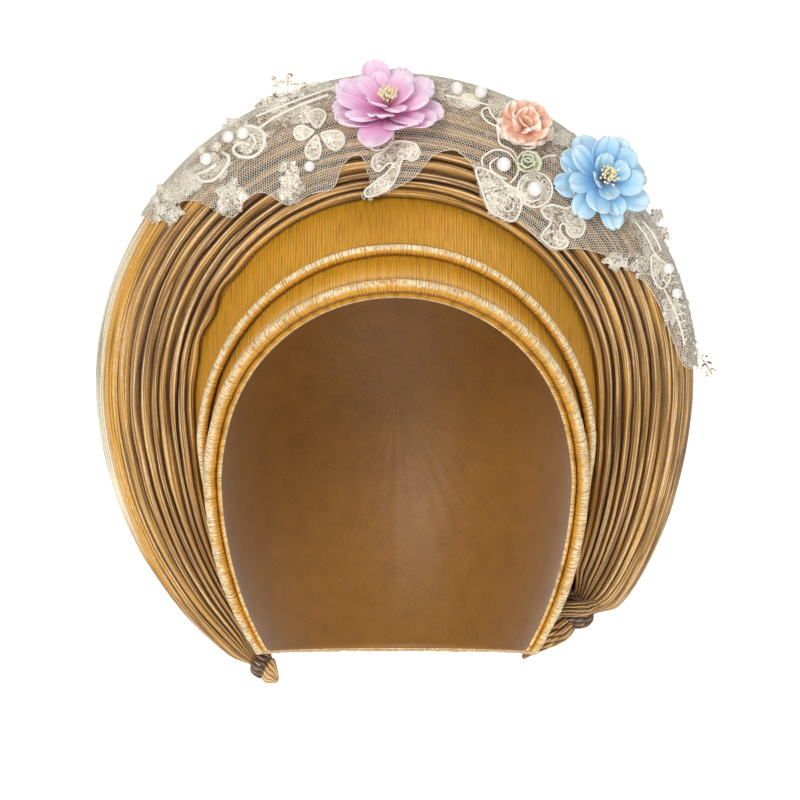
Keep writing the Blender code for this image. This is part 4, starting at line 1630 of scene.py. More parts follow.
@dataclass
class LaceField:
    """Outer face of the lace, read from tables of its line at each angle."""

    gap: float = 0.7
    wall: float = 1.0
    drape_wall: float = 1.6
    step: float = 0.5
    scallops: tuple = (
        (2.2, 128.4), (4.7, 125.2), (11.1, 121.7), (17.8, 119.5), (23.0, 116.4), (28.5, 111.9),
        (32.2, 105.8), (36.7, 98.0), (40.2, 89.5), (43.9, 87.7), (54.1, 87.5), (61.2, 85.4),
        (68.3, 97.1), (75.2, 103.9), (77.8, 103.2), (81.0, 99.4), (84.8, 89.8), (92.0, 83.5),
        (97.0, 84.0), (98.6, 99.0), (103.4, 97.8), (107.7, 89.2), (114.8, 90.0), (121.5, 90.5),
        (125.0, 101.0), (130.3, 103.0), (135.2, 102.0), (138.0, 119.0), (143.3, 126.0),
        (147.0, 127.8))

    def __post_init__(self) -> None:
        """Work out the tables."""
        self.angles, self.radii, self.travel = (
            np.arange(low, high, self.step)
            for low, high in ((-6.0, 156.1), (78.0, 152.1), (-62.0, 36.1)))
        shares = np.linspace(-0.02, HALO.share, 40)
        lift = self.gap + self.wall
        height = (HALO.height(self.angles) + lift)[:, None]
        front = HALO.offset(self.angles[:, None], shares, height)
        over = HALO.drape(self.angles, self.drape_wall + lift, tuple(range(-50, 91, 10)),
                          (0.12, 0.3, 0.5, 0.72))
        line = np.concatenate([front, over[:, 1:]], 1)
        apex = front.shape[1] + 6
        self.depths = np.stack([np.interp(self.radii, *row[:apex].T) for row in line])
        gone = run_length(np.swapaxes(line, 0, 1)).T
        gone = gone - gone[:, apex - 1:apex]
        self.paths = np.stack([np.stack([np.interp(self.travel, g, column) for column in row.T], -1)
                               for g, row in zip(gone, line)])
        self.front_edge, self.back_edge = gone[:, 0], gone[:, -1]

    def read(self, table: Array, angle: Array, grid: Array, where: Array) -> Array:
        """Read a table between its rows and columns.

        Args:
            table: Values at every angle and column.
            angle: Degrees round the hub.
            grid: Positions of the columns.
            where: Positions to read.

        Returns:
            Values.
        """
        i = np.clip((angle - self.angles[0]) / self.step, 0, len(self.angles) - 1.001)
        j = np.clip((where - grid[0]) / self.step, 0, len(grid) - 1.001)
        a, b = i.astype(int), j.astype(int)
        u, v = i - a, j - b
        if table.ndim == 3:
            u, v = u[..., None], v[..., None]
        return ((table[a, b] * (1 - u) + table[a + 1, b] * u) * (1 - v)
                + (table[a, b + 1] * (1 - u) + table[a + 1, b + 1] * u) * v)

    def depth(self, x: Array, z: Array) -> Array:
        """Depth of the lace behind places seen from the front."""
        angle = np.degrees(np.arctan2(z - HEAD.hub_z, x))
        return self.read(self.depths, angle, self.radii, np.hypot(x, z - HEAD.hub_z))

    def seat(self, x: Array, z: Array, lift: Values) -> tuple:
        """Points on the lace behind places seen from the front.

        Args:
            x: Places across.
            z: Heights.
            lift: Height above the lace.

        Returns:
            Points and outward normals.
        """
        x, z = np.asarray(x, float), np.asarray(z, float)
        reach = 0.7
        slope_x = (self.depth(x + reach, z) - self.depth(x - reach, z)) / (2.0 * reach)
        slope_z = (self.depth(x, z + reach) - self.depth(x, z - reach)) / (2.0 * reach)
        steep = np.maximum(1.0, np.hypot(slope_x, slope_z) / 2.0)
        normal = unit(np.stack([slope_x / steep, -np.ones_like(slope_x), slope_z / steep], -1))
        points = np.stack([x, self.depth(x, z), z], -1)
        return points + normal * np.broadcast_to(lift, x.shape)[..., None], normal

    def wrapped(self, angle: Array, travel: Array, lift: float) -> Array:
        """Points on the lace where it wraps round the halo's edge.

        Args:
            angle: Degrees round the hub.
            travel: Distance past the outermost edge, negative towards the front.
            lift: Height above the lace.

        Returns:
            Points.
        """
        spot = self.read(self.paths, angle, self.travel, travel)
        ahead = self.read(self.paths, angle, self.travel, travel + 0.5)
        behind = self.read(self.paths, angle, self.travel, travel - 0.5)
        return HALO.to_space(angle, spot + square_to(unit(ahead - behind)) * lift)

    def scallop(self, angle: Array) -> Array:
        """Radius of the lower edge."""
        return Curve(self.scallops).at(angle)


def smooth_line(points: Sequence, closed: bool, step: float) -> Array:
    """Even points on a smooth line through a few places.

    Args:
        points: Places as pairs.
        closed: True if the line comes back to its start.
        step: Distance between the points made.

    Returns:
        Points, two columns.
    """
    knots = np.array(points, float)
    if closed:
        knots = np.concatenate([knots[-1:], knots, knots[:2]])
    else:
        knots = np.concatenate([2 * knots[:1] - knots[1:2], knots, 2 * knots[-1:] - knots[-2:-1]])
    fine = []
    for i in range(1, len(knots) - 2):
        a, b, c, d = knots[i - 1:i + 3]
        t = np.linspace(0.0, 1.0, 16, endpoint=False)[:, None]
        fine.append(0.5 * (2 * b + (c - a) * t + (2 * a - 5 * b + 4 * c - d) * t ** 2
                           + (3 * b - a - 3 * c + d) * t ** 3))
    fine = np.concatenate(fine + [knots[-2:-1]])
    length = run_length(fine)
    count = max(6, int(length[-1] / step))
    spaced = np.linspace(0.0, length[-1], count, endpoint=not closed)
    return np.stack([np.interp(spaced, length, fine[:, k]) for k in (0, 1)], -1)


def cord_skin(points: Array, normals: Array, radius: float, closed: bool, sides: int = 6) -> Skin:
    """Twisted cord along points, with rounded ends if it is open.

    Args:
        points: Middle of the cord.
        normals: Directions away from what it lies on.
        radius: Its radius.
        closed: True if it comes back to its start.
        sides: Points round it.

    Returns:
        The skin.
    """
    ahead = np.roll(points, -1, 0) - np.roll(points, 1, 0)
    if not closed:
        ahead[0], ahead[-1] = points[1] - points[0], points[-1] - points[-2]
    along = unit(ahead)
    side = unit(np.cross(along, normals))
    length = run_length(points)[:, None]
    reach = radius * (1.0 + 0.16 * np.sin(math.tau * length / 1.15))
    turns = math.tau * np.arange(sides) / sides + 1.1 * length
    loops = round_line(points, reach, side, np.cross(side, along), turns)
    tips = (points[0] - along[0] * radius * 0.6, points[-1] + along[-1] * radius * 0.6)
    return outward(tube_skin(loops, 0.0, 0.8, ring=closed, poles=None if closed else tips))


def inside_outline(outline: Array, spots: Array) -> Array:
    """Which spots lie inside an outline.

    Args:
        outline: Corners, two columns.
        spots: Places, two columns.

    Returns:
        True for each spot inside.
    """
    a, b = outline, np.roll(outline, -1, 0)
    x, y = spots[:, None, 0], spots[:, None, 1]
    rise = np.where(np.abs(b[:, 1] - a[:, 1]) < 1e-9, 1e-9, b[:, 1] - a[:, 1])
    crosses = (a[:, 1] > y) != (b[:, 1] > y)
    past = x < a[:, 0] + (y - a[:, 1]) * ((b[:, 0] - a[:, 0]) / rise)
    return np.sum(crosses & past, axis=1) % 2 == 1


def patch_skin(field: LaceField, outline: Array, lift: float, wall: float,
               pitch: float = 1.3) -> Skin:
    """Closed plate of embroidery that follows the lace inside an outline.

    Args:
        field: Where the lace lies.
        outline: Corners seen from the front.
        lift: Height above the lace.
        wall: Thickness.
        pitch: Distance between its points.

    Returns:
        The skin.
    """
    low, high = outline.min(0), outline.max(0)
    grid = np.meshgrid(*(np.arange(low[k], high[k], pitch) for k in (0, 1)))
    spots = np.stack([values.ravel() for values in grid], -1)
    away = np.min(np.linalg.norm(spots[:, None] - outline[None], axis=-1), axis=1)
    spots = spots[inside_outline(outline, spots) & (away > 0.45 * pitch)]
    rim = [(i, (i + 1) % len(outline)) for i in range(len(outline))]
    flat = np.concatenate([outline, spots]).tolist()
    found = delaunay_2d_cdt([Vector(p) for p in flat], rim, [], 1, 1e-5)
    places = np.array([tuple(p) for p in found[0]])
    faces = [tuple(face) for face in found[2]]
    count = len(places)
    points = np.concatenate([field.seat(*places.T, rise)[0] for rise in (lift + wall, lift)])
    edges = dict.fromkeys(pair for face in faces for pair in zip(face, face[1:] + face[:1]))
    walls = [(j, i, i + count, j + count) for i, j in edges if (j, i) not in edges]
    under = [tuple(i + count for i in reversed(face)) for face in faces]
    return outward(Skin(points, faces + under + walls, np.zeros((2 * count, 2)),
                        np.full(2 * count, 0.55), np.zeros(2 * count)))


@dataclass(frozen=True)
class Cord:
    """Raised cord through places seen from the front; filled if it bounds embroidery."""

    name: str
    places: tuple
    closed: bool = False
    filled: bool = False
    radius: float = 0.5


@dataclass(frozen=True)
class Clump:
    """Ragged patch of dense embroidery."""

    x: float
    z: float
    half_x: float
    half_z: float
    seed: int

    def outline(self) -> Array:
        """Uneven oval round the patch."""
        w = math.tau * np.arange(40) / 40
        reach = 1.0 + 0.16 * np.sin(5.0 * w + self.seed) + 0.1 * np.sin(9.0 * w + 2.0 * self.seed)
        return np.stack([self.x + self.half_x * reach * np.cos(w),
                         self.z + self.half_z * reach * np.sin(w)], -1)


def petal_outline(x: float, z: float, turn: float, length: float, width: float) -> tuple:
    """Places round one embroidered petal.

    Args:
        x: Place of the centre that it starts near, across.
        z: Height of that centre.
        turn: Direction in degrees.
        length: Length from the centre to the tip.
        width: Greatest width.

    Returns:
        Pairs of places.
    """
    side = ((0.32, 0.24), (0.62, 0.5), (0.88, 0.42))
    rows = ((0.16, 0.0), *side, (1.0, 0.0), *((a, -b) for a, b in reversed(side)))
    c, s = math.cos(math.radians(turn)), math.sin(math.radians(turn))
    return tuple((x + c * a * length - s * b * width, z + s * a * length + c * b * width)
                 for a, b in rows)


def ring_places(x: float, z: float, radius: float) -> tuple:
    """Places round a circle."""
    return tuple((x + radius * math.cos(a), z + radius * math.sin(a))
                 for a in map(math.radians, range(0, 360, 45)))


FLOWER_MOTIF = (-34.3, 24.2)
CORDS = tuple(
    Cord(f"petal_{turn}", petal_outline(*FLOWER_MOTIF, turn, length, width), True, True)
    for turn, length, width in ((92, 9.8, 7.4), (184, 10.2, 6.0), (258, 12.4, 6.4),
                                (334, 12.6, 8.0))
) + (
    Cord("scroll_upper", ((-65.7, 26.9), (-61.0, 26.2), (-57.5, 22.6), (-58.3, 16.7), (-62.6, 13.2),
                          (-68.9, 13.8), (-70.8, 17.0), (-67.7, 19.5), (-63.8, 18.5)), radius=0.75),
    Cord("scroll_inner", ((-67.0, 22.9), (-63.0, 22.6), (-61.3, 19.6), (-62.8, 17.4)), radius=0.6),
    Cord("scroll_lower", ((-75.9, 15.6), (-72.8, 13.0), (-74.4, 8.5), (-79.1, 3.6), (-84.4, 3.0),
                          (-86.7, 5.7), (-83.0, 7.2), (-78.3, 10.1)), radius=0.75),
    Cord("rail_high", ((-61.0, 31.3), (-53.1, 34.4), (-42.1, 38.7), (-30.4, 42.7), (-22.5, 45.0))),
    Cord("rail_low", ((-60.2, 25.4), (-53.1, 30.5), (-43.7, 35.2), (-37.4, 37.6), (-29.6, 40.3)),
         radius=0.7),
    Cord("lobe", ((-2.9, 23.8), (-1.4, 21.4), (-4.4, 17.1), (-9.1, 15.9), (-12.7, 18.7),
                  (-10.7, 22.2)),
         True, True),
    Cord("leaf", ((-2.9, 17.9), (0.3, 19.9), (7.7, 18.9), (9.9, 14.8), (7.4, 11.6), (2.6, 12.0),
                  (0.7, 6.1), (-2.9, -0.2), (-9.1, -3.6), (-12.9, -4.0), (-13.6, -1.6), (-9.9, 1.6),
                  (-3.8, 6.5), (-1.7, 10.1), (-4.0, 9.9), (-7.6, 6.9), (-10.5, 9.1), (-9.8, 13.2),
                  (-5.6, 15.6)), True, True),
    Cord("ring_left", ((47.8, 3.5), (44.0, 5.1), (40.8, 7.7), (40.9, 10.7), (44.2, 12.9))),
    Cord("ring_left_outer", ((37.3, 9.2), (37.3, 12.9), (42.6, 16.1), (48.7, 14.9), (52.7, 8.8),
                             (51.5, 4.3), (49.1, 1.9))),
    Cord("ring_right", ring_places(58.7, -1.3, 4.7), True),
    Cord("ring_right_outer", ring_places(60.0, -0.9, 7.6), True, True),
    Cord("bell", ((34.4, 8.0), (40.9, 6.6), (48.3, 1.1), (52.7, -1.6), (54.1, -7.9), (50.9, -14.4),
                  (45.0, -12.9), (40.1, -9.7), (37.0, -1.4)), True, True),
    Cord("bell_eye", ((45.8, -7.9), (47.4, -10.3), (50.3, -9.5), (50.7, -6.3))),
    Cord("bow", ((63.3, -9.1), (67.8, -7.5), (73.5, -8.9), (78.0, -7.9), (79.6, -12.0),
                 (81.8, -16.0), (80.6, -20.1), (76.7, -21.3), (74.1, -19.3), (73.5, -15.9),
                 (71.4, -16.0), (71.2, -19.3), (74.5, -23.4), (72.7, -26.0), (67.8, -25.8),
                 (63.9, -23.0), (62.9, -20.5), (67.0, -15.1), (64.2, -12.6)), True, True),
    Cord("curl", ((45.0, 25.9), (39.3, 28.7), (36.9, 32.8), (39.7, 34.8), (41.7, 31.2),
                  (46.2, 26.7))),
    Cord("link", ((44.2, 24.2), (44.8, 19.0), (50.3, 15.9), (52.7, 11.6))),
    Cord("stem_left", ((75.1, 8.4), (76.9, 4.3), (77.2, -3.0), (78.8, -7.9), (83.2, -7.7))),
    Cord("stem_twig", ((62.1, 12.0), (65.3, 13.7), (69.4, 14.1))),
    Cord("stem_right", ((104.4, -14.4), (109.3, -20.9), (112.5, -27.4), (115.0, -30.3))),
    Cord("stem_outer", ((107.5, -14.0), (112.5, -20.0), (115.8, -27.0))),
    Cord("tear", ((111.7, -29.1), (114.6, -30.3), (119.2, -33.9), (119.6, -40.0), (116.0, -43.5),
                  (112.5, -39.6), (111.2, -33.9)), True, True),
    Cord("rail_top", ((21.4, 40.1), (27.1, 39.1), (32.8, 38.1), (40.1, 35.9))),
    Cord("edge_run", ((117.0, -44.0), (121.5, -52.0), (124.5, -60.0), (126.5, -68.0))),
)
CLUMPS = tuple(Clump(*row, seed) for seed, row in enumerate((
    (-72.0, -4.1, 6.4, 7.2), (-45.5, -0.4, 5.6, 6.4), (-46.8, 8.6, 4.0, 3.0),
    (-98.0, -2.4, 4.2, 5.2), (-63.5, 21.0, 7.6, 5.6), (-79.4, 9.2, 6.6, 5.4),
    (-88.0, 5.0, 5.0, 4.6), (-44.0, 31.8, 12.0, 3.6), (114.2, -11.2, 2.9, 2.9),
    (116.2, -19.3, 3.6, 3.6), (96.5, -31.5, 5.6, 3.6), (29.5, 38.4, 8.0, 3.4),
    (120.0, -52.0, 3.4, 7.0), (-100.0, -10.5, 6.6, 4.4), (-93.0, 1.5, 6.0, 4.4),
    (-70.0, 27.5, 6.0, 3.6), (-56.0, 36.6, 5.6, 2.8), (-34.0, 44.2, 8.5, 2.0),
    (46.0, 35.0, 5.4, 3.2), (72.0, 22.0, 4.6, 3.4), (103.0, -8.0, 4.2, 6.4),
    (110.5, -22.5, 3.4, 6.4), (107.0, -34.0, 4.0, 5.2), (15.0, 41.5, 6.4, 3.0),
), 1))


@dataclass
class Lace:
    """Net with scalloped edge, embroidery, stitches and raised cords."""

    scatter: Scatter
    finishes: dict
    pitch: float = 1.5
    back_pitch: float = 2.5
    strand: float = 0.16
    reach_radius: float = 115.0
    span: tuple = (3.0, 147.0)
    back_start: float = 6.5
    stitches: int = 3500
    patch_share: float = 0.62
    fuzz: float = 1.1

    def __post_init__(self) -> None:
        """Work out where the lace lies."""
        self.field = LaceField()

    def build(self) -> None:
        """Make the lace's pieces."""
        net, thread = self.finishes["lace_net"], self.finishes["lace_thread"]
        outlines = [smooth_line(cord.places, True, 0.8) for cord in CORDS if cord.filled]
        outlines += [clump.outline() for clump in CLUMPS]
        plates = Skin.join([patch_skin(self.field, outline, 0.05, 0.32) for outline in outlines])
        over = [self.piece("embroidery").from_skin(plates, self.finishes["lace_embroidery"]),
                self.piece("cords").from_skin(self.cords(), self.finishes["lace_cord"]),
                self.piece("stitches").from_mesh(self.stitch_mesh(outlines), thread)]
        for name, row in (("net_back", (self.back_pitch, (self.back_start, 34.0), 0.18)),
                          ("net_double", (self.pitch, (-17.0, 5.0), 0.15, 0.35, 5.0))):
            over.append(self.piece(name).from_mesh(self.net(*row), net))
        front = self.piece("net", "lace_applique").from_mesh(
            self.net(self.pitch, (-62.0, self.back_start), self.strand), net)
        front.sheet(0.075, "draped", ["fan_pleats", "drape_cloth"], [piece.item for piece in over])
        self.star()
        self.edge()

    @staticmethod
    def piece(name: str, *nodes: str) -> Piece:
        """Piece of lace that stands for nodes."""
        return Piece("lace_" + name, Slot.LACE, nodes)

    def net(self, pitch: float, belt: tuple, radius: float, lift: float = 0.0,
            wave: float = 0.0) -> Mesh:
        """Hexagonal net over a belt of the lace, one strand for each side of a cell.

        Args:
            pitch: Width of a cell.
            belt: Where it starts and ends, past the outermost edge.
            radius: Radius of a strand.
            lift: Height above the lace.
            wave: How far its lower edge swings.

        Returns:
            The strands as one mesh.
        """
        start, end = belt
        wide, high = 0.866 * pitch, 0.75 * pitch
        i, j = np.meshgrid(
            np.arange(int(math.radians(self.span[1] - self.span[0]) * self.reach_radius / wide)),
            np.arange(int((end - start) / high) + 1), indexing="ij")
        along, past = (i + 0.5 * (j % 2)) * wide, start + j * high
        knot = np.stack([along, past + 0.5 * pitch], -1)
        links = [(np.stack([along, past], -1), knot)]
        for shift in (0, 1):
            across = (i + (j % 2) - shift + 0.5 * ((j + 1) % 2)) * wide
            links.append((knot, np.stack([across, past + high], -1)))
        ends = []
        for spots in zip(*links):
            spot = np.concatenate([grid.reshape(-1, 2) for grid in spots])
            angle = self.span[0] + np.degrees(spot[:, 0] / self.reach_radius)
            wobble = 0.12 * pitch * Ripple(17).at(spot[:, 0] + 3.0 * spot[:, 1], 6.0)
            travel = spot[:, 1] + wobble
            points = self.field.wrapped(angle, travel, lift)
            radial = np.hypot(points[:, 0], points[:, 2] - HEAD.hub_z)
            edge, back = (np.interp(angle, self.field.angles, line)
                          for line in (self.field.front_edge, self.field.back_edge))
            kept = (travel > edge) & (travel < back)
            kept &= (angle < self.span[1]) & (angle > self.span[0])
            kept &= (radial > self.field.scallop(angle)) | (travel > 0.0)
            kept &= travel > start + wave * (1.0 + Ripple(29).at(angle, 40.0))
            ends.append((points, kept))
        keep = ends[0][1] & ends[1][1]
        a, b = ends[0][0][keep], ends[1][0][keep]
        length = np.linalg.norm(b - a, axis=-1)
        thick = radius * np.random.default_rng(7).uniform(0.85, 1.2, len(length))
        sizes = np.stack([thick, thick, length + 0.6 * radius], -1)
        return self.scatter.mesh(strand_shape(), 0.5 * (a + b), place_angles(b - a), sizes,
                                 self.finishes["lace_net"])

    def cords(self) -> Skin:
        """All the raised cords and the thin thread along the scallops."""
        skins = [self.thread_on(smooth_line(cord.places, cord.closed, 0.5), cord.radius,
                                cord.closed, 0.35 + 0.6 * cord.radius, 6) for cord in CORDS]
        angles = np.linspace(*self.span, 620)
        radii, turn = self.field.scallop(angles) + 0.3, np.radians(angles)
        edge = np.stack([radii * np.cos(turn), HEAD.hub_z + radii * np.sin(turn)], -1)
        return Skin.join(skins + [self.thread_on(edge, 0.14, False, 0.1, 4)])

    def stitch_mesh(self, outlines: Sequence) -> Mesh:
        """Small thread loops over the embroidery, and fewer of them over the open net.

        Args:
            outlines: Edges of the embroidered patches.

        Returns:
            The loops as one mesh.
        """
        rng = np.random.default_rng(23)
        spots = []
        areas = np.array([0.5 * abs(np.sum(o[:, 0] * np.roll(o[:, 1], -1)
                                           - o[:, 1] * np.roll(o[:, 0], -1))) for o in outlines])
        for outline, area in zip(outlines, areas):
            wanted = int(self.patch_share * self.stitches * area / areas.sum())
            low, high = outline.min(0), outline.max(0)
            tries = rng.uniform(low, high, (wanted * 4 + 8, 2))
            tries = tries[inside_outline(outline, tries)][:wanted]
            middle = 0.5 * (low + high)
            spots.append(middle + (tries - middle) * self.fuzz)
        angle = rng.uniform(*self.span, 4 * self.stitches)
        radius = 134.0 - 20.0 * rng.beta(1.2, 2.6, len(angle))
        open_net = radius > self.field.scallop(angle) + 1.0
        turn, radius = np.radians(angle[open_net]), radius[open_net]
        loose = np.stack([radius * np.cos(turn), HEAD.hub_z + radius * np.sin(turn)], -1)
        spots = np.concatenate(spots + [loose[:int((1.0 - self.patch_share) * self.stitches)]])
        places, normals = self.field.seat(*spots.T, 0.42)
        spins = rng.uniform(0.0, math.tau, len(spots))
        turns = np.array([self.spun(Vector(n), spin) for n, spin in zip(normals, spins)])
        sizes = np.repeat(rng.uniform(0.55, 1.05, (len(spots), 1)), 3, 1)
        return self.scatter.mesh(loop_shape(), places, turns, sizes, self.finishes["lace_thread"])

    @staticmethod
    def spun(normal: Vector, spin: float) -> tuple:
        """Euler angles that face a normal and turn about it."""
        face = normal.to_track_quat("Z", "Y").to_matrix().to_4x4()
        return tuple((face @ Matrix.Rotation(spin, 4, "Z")).to_euler())

    def star(self) -> None:
        """Star-shaped sprig that stands past the edge."""
        centre = np.array((-48.4, 42.3))
        skins = []
        for tip in ((-53.9, 47.8), (-46.9, 48.8), (-40.2, 45.2), (-41.6, 40.3), (-49.2, 36.8),
                    (-56.0, 39.2)):
            run = np.array(tip) - centre
            turn = math.degrees(math.atan2(run[1], run[0]))
            stem = smooth_line((centre, centre + 0.5 * run, tip), False, 0.5)
            skins.append(self.thread_on(stem, 0.3))
            for swing, start, size in ((0.0, 0.62, 4.4), (38.0, 0.42, 3.2), (-38.0, 0.42, 3.2)):
                leaf = petal_outline(*(centre + start * run), turn + swing, size, 0.62 * size)
                line = smooth_line(leaf, True, 0.45)
                skins.append(patch_skin(self.field, line, 0.0, 0.5, 0.9))
                skins.append(self.thread_on(line, 0.24, True))
        skins.append(self.knot(centre, 1.5, 9))
        self.piece("star_sprig", "lace_star").from_skin(Skin.join(skins),
                                                        self.finishes["lace_embroidery"])

    def edge(self) -> None:
        """Small dots and a leafy strand that stand past the edge."""
        dots = []
        for k, spot in enumerate(((-85.8, 17.1), (-78.7, 18.4), (-103.6, 0.5), (-106.0, -4.6))):
            dots.append(self.knot(spot, 1.5, k + 20))
            dots.append(self.thread_on(smooth_line(ring_places(*spot, 1.9), True, 0.5), 0.3, True))
        spine = smooth_line(((118.0, -36.0), (123.0, -47.0), (127.5, -62.0), (139.5, -81.5)),
                            False, 0.5)
        strand = [self.thread_on(spine, 0.4)]
        for k in range(4, len(spine) - 2, 7):
            along = unit(spine[k + 1] - spine[k - 1])
            for way in (-1.0, 1.0):
                side = np.array((-along[1], along[0])) * way
                leaf = (spine[k], spine[k] + side * 1.4, spine[k] + along * 1.4 + side * 2.5)
                strand.append(self.thread_on(smooth_line(leaf, False, 0.4), 0.55))
        self.piece("edge_dots").from_skin(Skin.join(dots), self.finishes["lace_thread"])
        self.piece("strand_sprig", "lace_strand").from_skin(Skin.join(strand),
                                                            self.finishes["lace_embroidery"])

    def thread_on(self, line: Array, radius: float, closed: bool = False, lift: float = 0.3,
                  sides: int = 5) -> Skin:
        """Cord over places seen from the front."""
        return cord_skin(*self.field.seat(*line.T, lift), radius, closed, sides)

    def knot(self, place: Sequence, radius: float, seed: int) -> Skin:
        """Small round clump of embroidery."""
        outline = Clump(*place, radius, radius, seed).outline()[::2]
        return patch_skin(self.field, outline, 0.0, 0.7, 0.9)


# Flowers and pearls

GOLDEN_TURN = 2.39996


@dataclass(frozen=True)
class Tier:
    """Ring of petals: how many, how long and wide, how steep they start and how they curl."""

    count: int
    length: float
    width: float
    rise: float
    curl: float
    cup: float
    ruffle: float
    height: float
    phase: float


@dataclass(frozen=True)
class Bloom:
    """Cloth flower that stands on the lace."""

    name: str
    slot: Slot
    x: float
    z: float
    tilt: float
    turn: float
    tiers: tuple
    seed: int
    stamens: int = 0
    eye: float = 0.0
    waves: float = 2.1
    wall: float = 0.18
    rows: int = 13
    columns: int = 11
    shape: Curve = Curve(((0.0, 0.2), (0.18, 0.42), (0.42, 0.82), (0.64, 1.0), (0.82, 0.93),
                          (0.93, 0.68), (1.0, 0.24)))

    def frame(self, field: LaceField) -> Matrix:
        """Place and turn of the flower."""
        point = field.seat(np.array([self.x]), np.array([self.z]), 0.4)[0][0]
        lean, aside = math.radians(self.tilt), math.radians(self.turn)
        axis = Vector((math.sin(aside) * math.cos(lean), -math.cos(aside) * math.cos(lean),
                       math.sin(lean)))
        return Matrix.Translation(Vector(point)) @ axis.to_track_quat("Z", "Y").to_matrix().to_4x4()

    def petal(self, tier: Tier, turn: float, rng: np.random.Generator) -> Skin:
        """One petal as a thin closed cloth.

        Args:
            tier: Ring that it belongs to.
            turn: Its direction in radians.
            rng: Random numbers.

        Returns:
            The skin.
        """
        along, v = np.linspace(0.0, 1.0, self.rows), np.linspace(-1.0, 1.0, self.columns)
        u = along[:, None]
        length = tier.length * rng.uniform(0.88, 1.06)
        half = 0.5 * tier.width * rng.uniform(0.86, 1.14)
        rise = math.radians(tier.rise + rng.uniform(-10.0, 13.0))
        steep = rise + math.radians(tier.curl + rng.uniform(-24.0, 16.0)) * u ** 1.6
        step = length / (self.rows - 1)
        out, up = (np.concatenate([[[0.0]], np.cumsum(step * wave(steep[1:]), 0)])
                   for wave in (np.cos, np.sin))
        share = self.shape.at(along)[:, None]
        phase = rng.uniform(0.0, 6.0)
        bend = tier.cup * rng.uniform(0.7, 1.2) * v ** 2 * share * half
        bend = bend + tier.ruffle * np.sin(self.waves * math.pi * v + phase) * u ** 1.5 * share
        notch = 1.0 - 0.05 * np.exp(-(v / 0.25) ** 2) * u ** 6
        skew = 0.12 * length * rng.uniform(-1.0, 1.0) * u ** 2
        grid = np.stack([0.8 + out * notch - np.sin(steep) * bend, v * half * share + skew,
                         tier.height + up + np.cos(steep) * bend], -1)
        wall = self.wall * unit(np.cross(np.gradient(grid, axis=0), np.gradient(grid, axis=1)))
        loops = np.concatenate([grid + wall, (grid - wall)[:, ::-1]], 1)
        c, s = math.cos(turn), math.sin(turn)
        loops = loops @ np.array(((c, s, 0.0), (-s, c, 0.0), (0.0, 0.0, 1.0)))
        both = np.concatenate([v, v[::-1]])
        uv = np.stack(np.broadcast_arrays(u * length, both * half), -1) * MM
        crest = np.clip(u * rng.uniform(0.92, 1.08), 0.0, 1.0)
        tone = np.abs(both) ** 3 * u ** 0.7 * rng.uniform(0.3, 0.9)
        return outward(tube_skin(loops, uv, crest, tone))

    def build(self, field: LaceField, scatter: Scatter, finishes: dict) -> None:
        """Make the petals, and the stamens if it has any.

        Args:
            field: Where the lace lies.
            scatter: What places shapes that repeat.
            finishes: Materials by name.
        """
        rng = np.random.default_rng(self.seed)
        skins = []
        for tier in self.tiers:
            for k in range(tier.count):
                part = (k + rng.uniform(-0.14, 0.14)) / tier.count
                skins.append(self.petal(tier, math.radians(tier.phase) + math.tau * part, rng))
        place, skin = self.frame(field), Skin.join(skins)
        skin.points = self.moved(place, skin.points)
        piece = Piece(self.name + "_petals", self.slot, [self.name])
        piece.from_skin(skin, finishes[self.slot.value])
        if self.stamens:
            self.tuft(place, scatter, finishes["stamen_yellow"], rng)

    def tuft(self, place: Matrix, scatter: Scatter, material: Material,
             rng: np.random.Generator) -> None:
        """Fine stamens with rounded tips.

        Args:
            place: Place and turn of the flower.
            scatter: What places shapes that repeat.
            material: Their finish.
            rng: Random numbers.
        """
        order, same = np.arange(self.stamens), np.ones(self.stamens)
        ring, spin = np.sqrt((order + 0.5) / self.stamens), order * GOLDEN_TURN
        lean = ring * 0.42 + rng.uniform(-0.08, 0.14, self.stamens)
        c, s = np.cos(spin), np.sin(spin)
        axis = np.stack([np.sin(lean) * c, np.sin(lean) * s, np.cos(lean)], -1)
        foot = np.stack([1.5 * ring * c, 1.5 * ring * s, self.eye * same], -1)
        high = rng.uniform(6.6, 8.4, self.stamens)
        shape = lathe(((0, 0.0, 0.3), (0.2, 0.0, 0.3), (0.16, 0.7, 0.4), (0.34, 0.78, 0.9),
                       (0.46, 0.9, 1.0), (0.3, 0.98, 1.0), (0, 1.0, 1.0)), 6)
        mesh = scatter.mesh(shape, self.moved(place, foot),
                            place_angles(axis @ np.array(place.to_3x3()).T),
                            np.stack([1.35 * same, 1.35 * same, high], -1), material)
        node = self.name.replace("flower", "stamens")
        Piece(node + "_tuft", Slot.STAMEN, [node]).from_mesh(mesh, material)

    @staticmethod
    def moved(place: Matrix, points: Array) -> Array:
        """Points carried to a place."""
        matrix = np.array(place)
        return points @ matrix[:3, :3].T + matrix[:3, 3]


